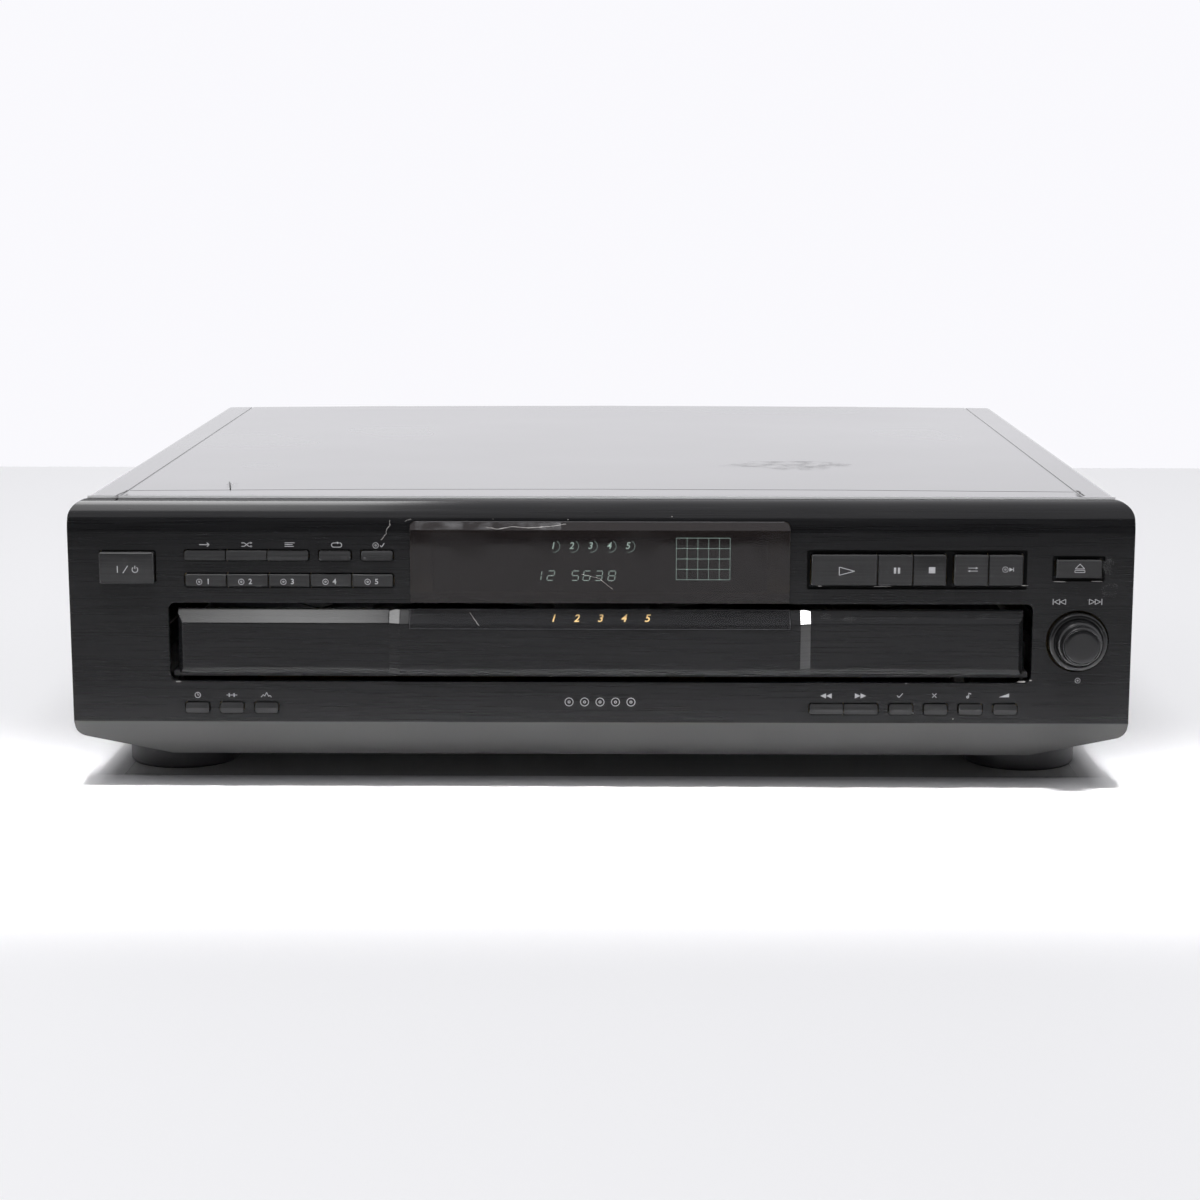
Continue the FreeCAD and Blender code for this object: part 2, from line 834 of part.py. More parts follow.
def board_post_places():
    """Posts on the panel's back that carry the boards, as (x, z)."""
    upper_z = upper_board_top - board_post_radius - 1
    lower_z = lower_board_bottom + board_post_radius + 1
    places = []
    for side in (-1, 1):
        places.append((side * (window_half + 5), upper_z))
        places.append((side * (panel_half - board_margin - 6), upper_z))
        places.append((side * 20, lower_board_top - board_post_radius - 1))
        places.append((side * (window_half - 4), lower_board_top - board_post_radius - 1))
    places.append((knob_x, knob_z - knob_hole_radius - board_post_radius - 2))
    return places


def display_window():
    front = face_y - window_proud
    body = front_plate_shape(-window_half, window_half, window_bottom, window_top, 0, window_corner, front,
                             inner_y)
    bevel_back = front + window_bevel_depth
    bevel = side_prism([(front - 1, window_top - window_bevel), (front, window_top - window_bevel),
                        (bevel_back, window_top), (bevel_back, window_top + 1), (front - 1, window_top + 1)],
                       -panel_half, panel_half)
    hollow = box(-window_half + window_wall, window_half - window_wall, front + window_wall, inner_y + 1,
                 window_bottom + window_wall, window_top - window_bevel - window_wall / 2)
    return body.cut(bevel).cut(hollow)


def display_tube():
    z0 = window_bottom + window_wall + 1
    glass = box(-tube_half, tube_half, board_y - tube_thickness, board_y, z0, z0 + tube_height)
    return softened(glass, 0.8, lambda c: abs(c.y - board_y + tube_thickness) < 1e-6)


def front_boards():
    half = panel_half - board_margin
    upper = box(-half, half, board_y, board_y + board_sheet, upper_board_bottom, upper_board_top)
    leg = box(deck_outer + 2, half, board_y, board_y + board_sheet, knob_z - knob_board_drop,
              upper_board_bottom)
    lower = box(-opening_half, opening_half, board_y, board_y + board_sheet, lower_board_bottom,
                lower_board_top)
    upper_parts = [upper, leg, encoder_housing()]
    lower_parts = [lower]
    for left, right, low, high, proud, form in key_rows.values():
        x = (left + right) / 2
        z = (low + high) / 2
        size = switch_size / 2
        switch = box(x - size, x + size, board_y - switch_height, board_y, z - size, z + size)
        plunger_start = point(x, board_y - switch_height - plunger_height, z)
        plunger = rod(plunger_radius, plunger_start, Y, plunger_height)
        parts = upper_parts if z > opening_top else lower_parts
        parts.append(switch)
        parts.append(plunger)
    return Part.makeCompound([join(upper_parts), join(lower_parts)])


def encoder_housing():
    size = encoder_size / 2
    body = box(knob_x - size, knob_x + size, board_y - encoder_height, board_y, knob_z - size, knob_z + size)
    bore_depth = rotor_length - rotor_proud + slip
    bore = rod(rotor_radius + shaft_gap, point(knob_x, board_y - encoder_height, knob_z), Y, bore_depth)
    return body.cut(bore)


def flatted(radius, flat, start, length):
    """A round bar along Y with one flat side."""
    bar = rod(radius, start, Y, length)
    x = start.x + flat
    return bar.cut(box(x, x + radius, start.y - 1, start.y + length + 1, start.z - radius, start.z + radius))


def encoder_rotor():
    y0 = board_y - encoder_height - rotor_proud
    ring = rod(rotor_radius, point(knob_x, y0, knob_z), Y, rotor_length)
    bore = flatted(knob_shaft_radius + shaft_gap, knob_flat + shaft_gap, point(knob_x, y0 - 1, knob_z),
                   rotor_length + 2)
    return ring.cut(bore)


def jog_knob():
    rotor_front = board_y - encoder_height - rotor_proud
    base_back = rotor_front - knob_travel - knob_back_gap
    base_front = face_y - knob_base_proud
    neck_y = base_front - 1.6
    cap_y = neck_y - 2.2
    tip = face_y - knob_protrusion
    shape = [
        (0, base_back), (knob_radius, base_back), (knob_radius, base_front + 0.8),
        (knob_radius - 0.8, base_front), (knob_neck_radius + 0.6, base_front - 0.4),
        (knob_neck_radius, neck_y), (knob_neck_radius, cap_y),
        (knob_cap_radius, cap_y - 0.9), (knob_cap_radius, tip + 1.0), (knob_cap_radius - 1.0, tip), (0, tip),
    ]
    corners = [point(knob_x + r, y, knob_z) for r, y in shape]
    body = Part.Face(Part.makePolygon(corners + corners[:1])).revolve(point(knob_x, 0, knob_z), Y, 360)
    shaft_end = rotor_front + rotor_length - rotor_proud
    shaft = flatted(knob_shaft_radius, knob_flat, point(knob_x, base_back, knob_z), shaft_end - base_back)
    return join([body, shaft])


def cover_wire(inset):
    """Rear view of the top cover's outline at one face of its sheet, open at the bottom."""
    side = case_half - inset
    low = base_shelf + slip
    edge_top = panel_top - inset
    bend = cover_bend - inset
    slant = bend * (1 - math.sqrt(0.5))
    y = cover_front
    left = [
        Part.makeLine(point(-side, y, low), point(-side, y, edge_top - bend)),
        Part.Arc(point(-side, y, edge_top - bend), point(-side + slant, y, edge_top - slant),
                 point(-side + bend, y, edge_top)).toShape(),
    ]
    crown = Part.Arc(point(-side + bend, y, edge_top), point(0, y, edge_top + top_crown),
                     point(side - bend, y, edge_top)).toShape()
    right = [
        Part.Arc(point(side - bend, y, edge_top), point(side - slant, y, edge_top - slant),
                 point(side, y, edge_top - bend)).toShape(),
        Part.makeLine(point(side, y, edge_top - bend), point(side, y, low)),
    ]
    closing = Part.makeLine(point(side, y, low), point(-side, y, low))
    return Part.Wire(left + [crown] + right + [closing])


def top_cover():
    length = point(0, rear_y - cover_front, 0)
    outer = Part.Face(cover_wire(0)).extrude(length)
    inner = Part.Face(cover_wire(cover_sheet)).extrude(length)
    low = base_shelf + slip
    mouth = box(-case_half + cover_sheet, case_half - cover_sheet, cover_front, rear_y, low - 1, low + 1)
    cover = outer.cut(inner).cut(mouth)
    groove_floor = outer.cut(moved(outer, 0, 0, -line_depth))
    line_x = case_half - line_inset
    middle_z = total_height / 2
    top_z = total_height + 1
    strips = both_sides(box(line_x - line_width, line_x, cover_front, rear_y, middle_z, top_z))
    line_y = cover_front + line_setback
    strips.append(box(-line_x, line_x, line_y, line_y + line_width, middle_z, top_z))
    cover = cover.cut(groove_floor.common(join(strips)))
    tabs = []
    for x in cover_tab_places():
        half = cover_tab_width / 2
        low = panel_top - cover_sheet - cover_tab_drop
        tab = box(x - half, x + half, rear_y, rear_y + cover_sheet, low, total_height)
        tabs.append(tab.common(moved(outer, 0, cover_sheet, 0)))
    cover = join([cover] + tabs)
    holes = []
    for x in cover_tab_places():
        holes.append(rod(screw_radius + screw_gap, point(x, rear_y - 1, cover_screw_z), Y, 3))
    for y in side_screw_places():
        holes.append(rod(screw_radius + screw_gap, point(-case_half - 1, y, side_screw_z), X, case_width + 2))
    return cover.cut(holes)


def cover_tab_places():
    return (-case_half * 0.6, 0.0, case_half * 0.6)


def side_screw_places():
    return (cover_front + side_screw_from_front, rear_y - side_screw_from_rear)


def rear_screw_places():
    outer = base_half - rear_screw_inset
    return (-outer, -rear_screw_x, rear_screw_x, outer)


def base_outline(y0, y1, top):
    """The base's front view, filled up to the given height and drawn back from y0 to y1."""
    slope_end = base_floor_half + base_slope_run
    right = [(base_floor_half, base_height), (slope_end, base_shelf), (base_half, base_shelf),
             (base_half, top)]
    left = [(-x, z) for x, z in reversed(right)]
    return prism([point(x, y0, z) for x, z in right + left], point(0, y1 - y0, 0))


def chassis_base():
    rear = rear_inner_y
    whole = base_outline(base_front, rear, base_flange_top)
    floor = whole.cut(moved(whole, 0, 0, base_sheet))
    sides = both_sides(box(base_half - base_sheet, base_half, base_front, rear, base_shelf, base_flange_top))
    front = base_outline(base_front, base_front + base_sheet, base_flange_top)
    back = base_outline(rear - base_sheet, rear, base_flange_top)
    pegs = []
    for x, y in main_board_peg_places():
        pegs.append(rod(board_peg_radius, point(x, y, base_top), Z, main_board_z - base_top))
    pan = join([floor, front, back] + sides + pegs)
    holes = []
    for y in side_screw_places():
        start = point(-base_half - 1, y, side_screw_z)
        holes.append(rod(screw_radius + screw_gap, start, X, 2 * base_half + 2))
    for x in rear_screw_places():
        holes.append(rod(screw_radius + screw_gap, point(x, rear - 3, side_screw_z), Y, 5))
    for i in range(vent_count):
        x = -base_floor_half + vent_start + i * vent_pitch
        holes.append(box(x, x + vent_width, -vent_length / 2, vent_length / 2, base_height - 1, base_top + 1))
    for x, half in ((jack_x, jack_notch_half), (-gland_x, gland_notch_half)):
        holes.append(box(x - half, x + half, rear - 4, rear + 1, base_top + notch_rise, base_flange_top + 1))
    return pan.cut(holes)


def rear_panel():
    top = panel_top - cover_sheet - slip
    sheet = front_plate_shape(-base_half, base_half, base_height, top, 0, cover_bend, rear_inner_y, rear_y)
    sheet = sheet.common(base_outline(rear_inner_y, rear_y, top))
    holes = []
    for x in rear_screw_places():
        holes.append(rod(screw_radius + screw_gap, point(x, rear_y - 3, side_screw_z), Y, 5))
    for x in cover_tab_places():
        holes.append(rod(screw_radius + screw_gap, point(x, rear_y - 3, cover_screw_z), Y, 5))
    for x in jack_places():
        holes.append(rod(jack_radius + slip, point(x, rear_y - 3, jack_z), Y, 5))
    holes.append(rod(gland_radius + screw_gap, point(-gland_x, rear_y - 3, gland_z), Y, 5))
    lower_row_z = base_height + rear_vent_rise
    for row_z in (lower_row_z, lower_row_z + rear_vent_pitch):
        for i in range(vent_count):
            x = -base_floor_half + vent_start + i * vent_pitch
            holes.append(box(x, x + vent_width, rear_y - 3, rear_y + 2, row_z, row_z + rear_vent_length))
    return sheet.cut(holes)


def jack_places():
    return (jack_x - jack_spacing / 2, jack_x + jack_spacing / 2)


def line_out_jacks():
    half = jack_spacing / 2 + 9
    block = box(jack_x - half, jack_x + half, rear_inner_y - jack_block, rear_inner_y, jack_z - 9, jack_z + 9)
    parts = [block]
    holes = []
    for x in jack_places():
        parts.append(rod(jack_radius, point(x, rear_inner_y, jack_z), Y, cover_sheet + jack_protrusion))
        parts.append(rod(jack_collar_radius, point(x, rear_y, jack_z), Y, jack_collar))
        holes.append(rod(jack_bore_radius, point(x, rear_y, jack_z), Y, jack_protrusion + 1))
    return join(parts).cut(holes)


def cord_gland():
    start = rear_y - gland_inside
    middle = point(-gland_x, start, gland_z)
    body = rod(gland_radius, middle, Y, gland_inside + gland_outside)
    outer_flange = rod(gland_flange_radius, point(-gland_x, rear_y, gland_z), Y, gland_flange)
    inner_start = point(-gland_x, rear_inner_y - gland_flange, gland_z)
    inner_flange = rod(gland_flange_radius, inner_start, Y, gland_flange)
    bore = rod(gland_bore_radius, middle - Y, Y, gland_inside + gland_outside + 2)
    return join([body, outer_flange, inner_flange]).cut(bore)


def feet():
    shapes = []
    for y in (face_y + front_foot_setback, rear_y - rear_foot_setback):
        for x in (-foot_x, foot_x):
            lower = rod(foot_radius, point(x, y, 0), Z, base_height * 0.55)
            upper = Part.makeCone(foot_radius, foot_top_radius, base_height * 0.45,
                                  point(x, y, base_height * 0.55), Z)
            foot = join([lower, upper])
            shapes.append(softened(foot, 1.2, lambda c: abs(c.z) < 1e-6))
    return Part.makeCompound(shapes)


def case_screws():
    screws = []
    for y in side_screw_places():
        for side in (-1, 1):
            screws.append(screw(point(side * case_half, y, side_screw_z), point(-side, 0, 0)))
    for x in rear_screw_places():
        screws.append(screw(point(x, rear_y, side_screw_z), point(0, -1, 0)))
    for x in cover_tab_places():
        screws.append(screw(point(x, rear_y + cover_sheet, cover_screw_z), point(0, -1, 0)))
    return Part.makeCompound(screws)


def screw(seat, inward):
    """A screw whose head sits on the seat and whose shank points inward."""
    shank = rod(screw_radius, seat, inward, screw_length)
    head = rod(screw_head_radius, seat - inward * screw_head, inward, screw_head)
    return join([shank, head])


# Boards and transformer

def main_board_peg_places():
    inset = board_peg_inset
    places = []
    for x in (inset - main_board_left, 0.0, main_board_right - inset):
        places.append((x, main_board_front_y + inset))
        places.append((x, main_board_rear_y - inset))
    return places


def main_board():
    front = main_board_front_y
    top = main_board_z + board_sheet
    parts = [box(-main_board_left, main_board_right, front, main_board_rear_y, main_board_z, top)]
    for x, y, radius, height in board_cans:
        parts.append(rod(radius, point(x - main_board_left, front + y, top), Z, height))
    for x, y, width, length, height in board_blocks:
        x0 = x - main_board_left
        parts.append(box(x0, x0 + width, front + y, front + y + length, top, top + height))
    return join(parts)


def power_transformer():
    bay_middle = -(deck_outer + base_half - base_sheet) / 2
    y = rear_y - transformer_from_rear
    low = base_shelf + base_sheet
    z = low + bracket_sheet
    outer_x = bay_middle - transformer_width / 2
    inner_x = bay_middle + transformer_width / 2
    half_core = transformer_length / 2
    core = box(outer_x, inner_x, y - half_core, y + half_core, z, z + transformer_height)
    middle_z = z + transformer_height / 2
    half_coil = coil_length / 2
    coil = box(bay_middle - coil_width / 2, bay_middle + coil_width / 2, y - half_coil, y + half_coil,
               middle_z - coil_height / 2, middle_z + coil_height / 2)
    half = bracket_length / 2
    bracket = box(outer_x, inner_x, y - half, y + half, low, z)
    leg = box(inner_x - bracket_sheet, inner_x, y - half, y + half, base_top, z)
    holes = []
    for side in (-1, 1):
        start = point(bay_middle, y + side * (half - bracket_hole_inset), low - 1)
        holes.append(rod(bracket_hole_radius, start, Z, bracket_sheet + 2))
    return join([core, coil, leg, bracket.cut(holes)])


# Drawer

def front_section(shift):
    """Side view of the drawer front, moved forwards by shift, as (y, z) corners."""
    y = face_y - shift
    back = front_back_y
    return [
        (back, front_bottom), (y + low_bevel_depth, front_bottom), (y, front_bottom + low_bevel_height),
        (y, front_top - top_bevel_height), (y + top_bevel_depth, front_top), (back, front_top),
    ]


def section_wire(shift, x):
    corners = [point(x, y, z) for y, z in front_section(shift)]
    return Part.makePolygon(corners + corners[:1])


def lens_cut(half, growth, front_shift, back_shift):
    """The clear strip: a skin that follows the bulge's top bevel."""
    skin = side_prism(front_section(front_shift), -half, half)
    skin = skin.cut(side_prism(front_section(back_shift), -half - 1, half + 1))
    y0 = face_y - front_shift - 1
    low = front_top - lens_height - growth
    return skin.common(box(-half, half, y0, front_back_y - lens_thickness / 2, low, front_top + 1))


def bevelled_plan(half, bevel, front, bevel_back):
    """A plan as wide as the drawer front, with its two front corners cut off."""
    right = [(half - bevel, front), (half, bevel_back), (half, front_back_y)]
    left = [(-x, y) for x, y in reversed(right)]
    return plan_prism(right + left, front_bottom - 1, front_top + 1)


def tray_front():
    plate = side_prism(front_section(0), -front_half, front_half)
    plate = plate.common(bevelled_plan(front_half, side_bevel, face_y, face_y + side_bevel))
    bulge = side_prism(front_section(bulge_proud), -bulge_half, bulge_half)
    flank = Part.makeLoft([section_wire(bulge_proud, bulge_half), section_wire(0, bulge_half + bulge_flank)],
                          True, True)
    pocket = lens_cut(lens_half + window_gap, window_gap, bulge_proud + 1, bulge_proud - lens_thickness)
    return join([plate, bulge] + both_sides(flank)).cut(pocket)


def tray_front_lens():
    return lens_cut(lens_half, 0, bulge_proud + lens_proud, bulge_proud - lens_thickness)


def rack_comb():
    """What the rack's tooth gaps take out of the drawer's floor from below."""
    pitch = math.pi * gear_module
    slope = math.tan(math.radians(pressure_angle))
    low = tray_bottom - 1
    root = rack_pitch_z + gear_dedendum * gear_module
    half_low = pitch / 4 + gear_backlash / 4 + (rack_pitch_z - tray_bottom) * slope
    half_root = pitch / 4 + gear_backlash / 4 - (root - rack_pitch_z) * slope
    end_count = 3
    gap_count = int(tray_travel / pitch) + end_count
    corners = []
    for i in range(-end_count, gap_count + 1):
        y = loading_y + i * pitch
        corners.append((y - half_low, tray_bottom))
        corners.append((y - half_root, root))
        corners.append((y + half_root, root))
        corners.append((y + half_low, tray_bottom))
    corners.append((corners[-1][0], low))
    corners.append((corners[0][0], low))
    half = gear_width / 2 + 0.5
    return side_prism(corners, rack_x - half, rack_x + half)


def tray_frame():
    front = front_back_y
    floor = box(-rail_half, rail_half, front, tray_rear, tray_bottom, tray_floor_top)
    walls = both_sides(box(tray_half - tray_wall, tray_half, front, tray_rear, tray_floor_top, table_top))
    ends = [
        box(-tray_half, tray_half, front, front + tray_wall, tray_floor_top, table_top),
        box(-tray_half, tray_half, tray_rear - tray_wall, tray_rear, tray_floor_top, table_top),
    ]
    deck = box(-tray_half, tray_half, front, tray_rear, table_top - tray_wall, table_top)
    hole_radius = table_radius + tray_rim_gap
    deck = deck.cut(rod(hole_radius, point(0, table_y, tray_floor_top), Z, table_top))
    strip_half = gear_width / 2 + 1.5
    strip = box(rack_x - strip_half, rack_x + strip_half, front, table_y + tray_travel / 2, tray_floor_top,
                tray_floor_top + 2)
    post_top = table_top - table_skin
    post = rod(hub_post_radius, point(0, table_y, tray_floor_top), Z, post_top - tray_floor_top)
    flange = rod(hub_radius + 1, point(0, table_y, tray_floor_top), Z, hub_flange)
    pads = []
    for angle in (90 - 60, 90 + 60, 270):
        x = track_radius * math.cos(math.radians(angle))
        y = table_y + track_radius * math.sin(math.radians(angle))
        pads.append(rod(pad_radius, point(x, y, tray_floor_top), Z, table_gap - 2 * slip))
    frame = join([floor, deck, strip, post, flange] + walls + ends + pads)
    slot = box(-slot_half, slot_half, slot_front_y, tray_rear + 1, tray_bottom - 1, table_top + 1)
    cuts = [slot, rack_comb()]
    cuts.append(rod(cap_pin_radius + shaft_gap, point(0, table_y, post_top - 6), Z, 7))
    return frame.cut(cuts)


def well_centre(i):
    angle = math.radians(90 + 360.0 / well_count * i)
    return point(well_pitch_radius * math.cos(angle), table_y + well_pitch_radius * math.sin(angle), 0)


def rotary_table():
    centre = point(0, table_y, 0)
    well_radius = disc_radius + disc_play_gap
    small_well_radius = small_disc_radius + disc_play_gap
    parts = [
        rod(table_radius, centre + Z * (table_top - table_skin), Z, table_skin),
        tube(table_radius, table_radius - table_skin, centre + Z * small_seat_z, Z, table_top - small_seat_z),
        rod(hub_radius, centre + Z * hub_bottom, Z, table_top - hub_bottom),
        tube(track_radius + track_width / 2, track_radius - track_width / 2,
             centre + Z * (table_under - slip), Z, table_skin + slip),
    ]
    wells = []
    for i in range(well_count):
        middle = well_centre(i)
        cup_low = seat_z - table_skin
        parts.append(rod(well_radius + table_skin - 0.3, middle + Z * cup_low, Z, table_top - cup_low))
        parts.append(rod(small_well_radius + table_skin - 0.3, middle + Z * table_under, Z, table_skin + 1))
        wells.append(rod(well_radius, middle + Z * seat_z, Z, well_depth + 1))
        wells.append(rod(small_well_radius, middle + Z * small_seat_z, Z, well_depth + small_well_drop + 1))
        wells.append(table_slot(i))
    body = join(parts)
    body = body.common(rod(table_radius, centre + Z * (hub_bottom - 1), Z, table_top))
    ring = gear(table_teeth, table_top - table_skin - drive_gear_z,
                meshing_angle(small_teeth, 90, table_teeth, 90))
    ring = moved(ring, 0, table_y, drive_gear_z)
    body = join([body, ring])
    bore_top = table_top - table_skin + slip
    hub_bore = rod(hub_post_radius + shaft_gap, centre + Z * (hub_bottom - 1), Z, bore_top - hub_bottom + 1)
    pin_hole = rod(cap_pin_radius + shaft_gap, centre + Z * (table_top - table_skin - 1), Z, table_skin + 2)
    return in_sectors(body.cut(wells + [hub_bore, pin_hole]))


def in_sectors(body):
    """The table's moulding as its middle and one sector for each web between two wells."""
    base = point(0, table_y, hub_bottom - 1)
    height = table_top - hub_bottom + 2
    middle = rod(sector_start, base, Z, height)
    pieces = body.common(middle).Solids
    outer = body.cut(middle)
    for i in range(well_count):
        corners = [base]
        for step in (0, 0.5, 1):
            angle = math.radians(90 + 360.0 / well_count * (i + step))
            corners.append(base + point(math.cos(angle), math.sin(angle), 0) * (2 * table_radius))
        wedge = Part.Face(Part.makePolygon(corners + [base])).extrude(Z * height)
        pieces += outer.common(wedge).Solids
    return Part.makeCompound(pieces)


def table_slot(i):
    """The slot that lets the raised lift stand in a well while the drawer slides out."""
    inner = table_y + well_pitch_radius - lift_front - slot_gap
    outer = table_y + table_radius + 5
    corners = [
        (point(-slot_half, inner, table_under - 3), slot_corner),
        (point(slot_half, inner, table_under - 3), slot_corner),
        (point(slot_half, outer, table_under - 3), 0),
        (point(-slot_half, outer, table_under - 3), 0),
    ]
    slot = Part.Face(rounded_wire(corners)).extrude(point(0, 0, table_top))
    slot.rotate(point(0, table_y, 0), Z, 360.0 / well_count * i)
    return slot


def table_cap():
    base = point(0, table_y, table_top)
    top = Part.makeCone(cap_radius, cap_radius - cap_height, cap_height, base, Z)
    pin = rod(cap_pin_radius, base - Z * (table_skin + 4), Z, table_skin + 4)
    return join([top, pin])


def table_motor():
    top = drive_gear_z - slip - 0.2
    body = rod(table_motor_radius, point(0, drive_y, tray_floor_top), Z, top - tray_floor_top)
    bore = rod(motor_shaft_radius + shaft_gap, point(0, drive_y, tray_floor_top + 1), Z, top)
    return body.cut(bore)


def table_drive_gear():
    wheel = moved(gear(small_teeth, gear_width, 90), 0, drive_y, drive_gear_z)
    shaft = rod(motor_shaft_radius, point(0, drive_y, tray_floor_top + 1 + slip), Z,
                drive_gear_z - tray_floor_top - 1 - slip + gear_width / 2)
    return join([wheel, shaft])


# Loading mechanism

def loading_gear():
    half = gear_width / 2
    wheel = upright_to_x(moved(gear(loading_teeth, gear_width, 180), 0, 0, -half))
    wheel = moved(wheel, rack_x, loading_y, loading_z)
    reach = half + 4.2
    axle = rod(axle_radius, point(rack_x - reach, loading_y, loading_z), X, 2 * reach)
    boss = rod(axle_radius + 2, point(rack_x - half - 0.3, loading_y, loading_z), X, gear_width + 0.6)
    return join([wheel, axle, boss])


def motor_pinion():
    half = gear_width / 2
    first = meshing_angle(loading_teeth, 180, small_teeth, 90)
    wheel = upright_to_x(moved(gear(small_teeth, gear_width, first), 0, 0, -half))
    wheel = moved(wheel, rack_x, pinion_y, loading_z)
    shaft = rod(motor_shaft_radius, point(rack_x - half, pinion_y, loading_z), X, gear_width + 11)
    return join([wheel, shaft])


def bracket_places():
    """X of the inner faces of the two brackets beside the loading gear."""
    reach = gear_width / 2 + 0.8
    return rack_x - reach, rack_x + reach


def loading_motor():
    start = bracket_places()[1] + deck_wall
    length = deck_inner - 1 - start
    body = rod(loading_motor_radius, point(start, pinion_y, loading_z), X, length)
    bore = rod(motor_shaft_radius + shaft_gap, point(start - 1, pinion_y, loading_z), X, 11)
    return body.cut(bore)


def mechanism_deck():
    floor = box(-deck_outer, deck_outer, deck_floor_front, deck_rear, base_top, deck_floor_top)
    beam = box(-deck_outer, deck_outer, deck_front, deck_front + deck_beam, base_top, deck_floor_top + 1)
    walls = both_sides(box(deck_inner, deck_outer, deck_front, deck_rear, base_top, deck_wall_top))
    ledge_top = tray_bottom - slip
    ledges = both_sides(box(deck_inner - ledge_width, deck_inner, deck_front, deck_rear,
                            ledge_top - ledge_thickness, ledge_top))
    parts = [floor, beam] + walls + ledges
    lip_z = tray_floor_top + slip
    for y in (deck_front, deck_front + 3.5 * lip_length, 0.0, deck_rear - 2 * lip_length):
        parts += both_sides(box(deck_inner - lip_reach, deck_inner, y, y + lip_length, lip_z,
                                lip_z + lip_thickness))
    bridge_front = spindle_y - bridge_width / 2
    parts += both_sides(box(deck_inner, deck_outer, bridge_front, bridge_front + bridge_width, deck_wall_top,
                            bridge_z))
    left_face, right_face = bracket_places()
    pad_front = loading_y - 12
    pad_rear = pinion_y + loading_motor_radius + 6
    parts.append(box(left_face - deck_wall, deck_inner, pad_front, pad_rear, base_top, deck_floor_top))
    bracket_top = ledge_top - 0.5
    axle_reach = axle_radius + 4
    left = box(left_face - deck_wall, left_face, loading_y - axle_reach, loading_y + axle_reach,
               deck_floor_top, loading_z + axle_reach)
    right = box(right_face, right_face + deck_wall, loading_y - axle_reach, pad_rear, deck_floor_top,
                bracket_top)
    parts += [left, right]
    for x in (-post_x, post_x):
        for y in post_places():
            parts.append(rod(post_radius, point(x, y, deck_floor_top), Z, tray_bottom - 0.8 - deck_floor_top))
    guide_x = cam_plate_x() + cam_plate + slip
    parts.append(box(guide_x, guide_x + 2, lift_front_y, lift_rear_y, deck_floor_top, deck_floor_top + 10))
    deck = join(parts)
    between = right_face - left_face
    axle_start = point(left_face - deck_wall - 1, loading_y, loading_z)
    gear_room = loading_radius + gear_addendum * gear_module + 2 * slip
    holes = [
        rod(axle_radius + shaft_gap, axle_start, X, between + 2 * deck_wall + 2),
        rod(motor_shaft_radius + slip, point(left_face, pinion_y, loading_z), X, between + deck_wall + 1),
        rod(gear_room, point(left_face, loading_y, loading_z), X, between),
    ]
    return deck.cut(holes)


# Clamp

def clamp_bridge():
    half = bridge_width / 2
    bridge_top = bridge_z + bridge_sheet
    plate = box(-deck_outer, deck_outer, spindle_y - half, spindle_y + half, bridge_z, bridge_top)
    parts = [plate]
    for y in (spindle_y - half, spindle_y + half - bridge_sheet):
        parts.append(box(-deck_outer, deck_outer, y, y + bridge_sheet, bridge_z, bridge_z + bridge_flange))
    seat = tube(clamper_flange_radius + 2, clamper_hole_radius, point(0, spindle_y, bridge_z + bridge_sheet),
                Z, clamper_seat)
    hole = rod(clamper_hole_radius, point(0, spindle_y, bridge_z - 1), Z, bridge_sheet + 3)
    return join(parts + [seat]).cut(hole)


def disc_clamper():
    centre = point(0, spindle_y, 0)
    face = rod(clamper_radius, centre + Z * clamp_face_z, Z, clamper_face)
    seat_top = bridge_z + bridge_sheet + clamper_seat + slip
    neck = rod(clamper_neck_radius, centre + Z * clamp_face_z, Z, seat_top + clamper_flange - clamp_face_z)
    flange = rod(clamper_flange_radius, centre + Z * seat_top, Z, clamper_flange)
    depth = cone_height - clamp_gap + clamper_recess_gap
    recess = rod(cone_radius + 1.2, centre + Z * (clamp_face_z - 1), Z, 1 + depth)
    return join([face, neck, flange]).cut(recess)


# Lift

def post_places():
    return (spindle_y + front_post_from_spindle, spindle_y + rear_post_from_spindle)


def pickup_window():
    """The lift plate's window for the pickup, as y from and to."""
    start = spindle_y + lens_start - pickup_front - 1
    end = spindle_y + lens_end + pickup_back + 1
    return start, end


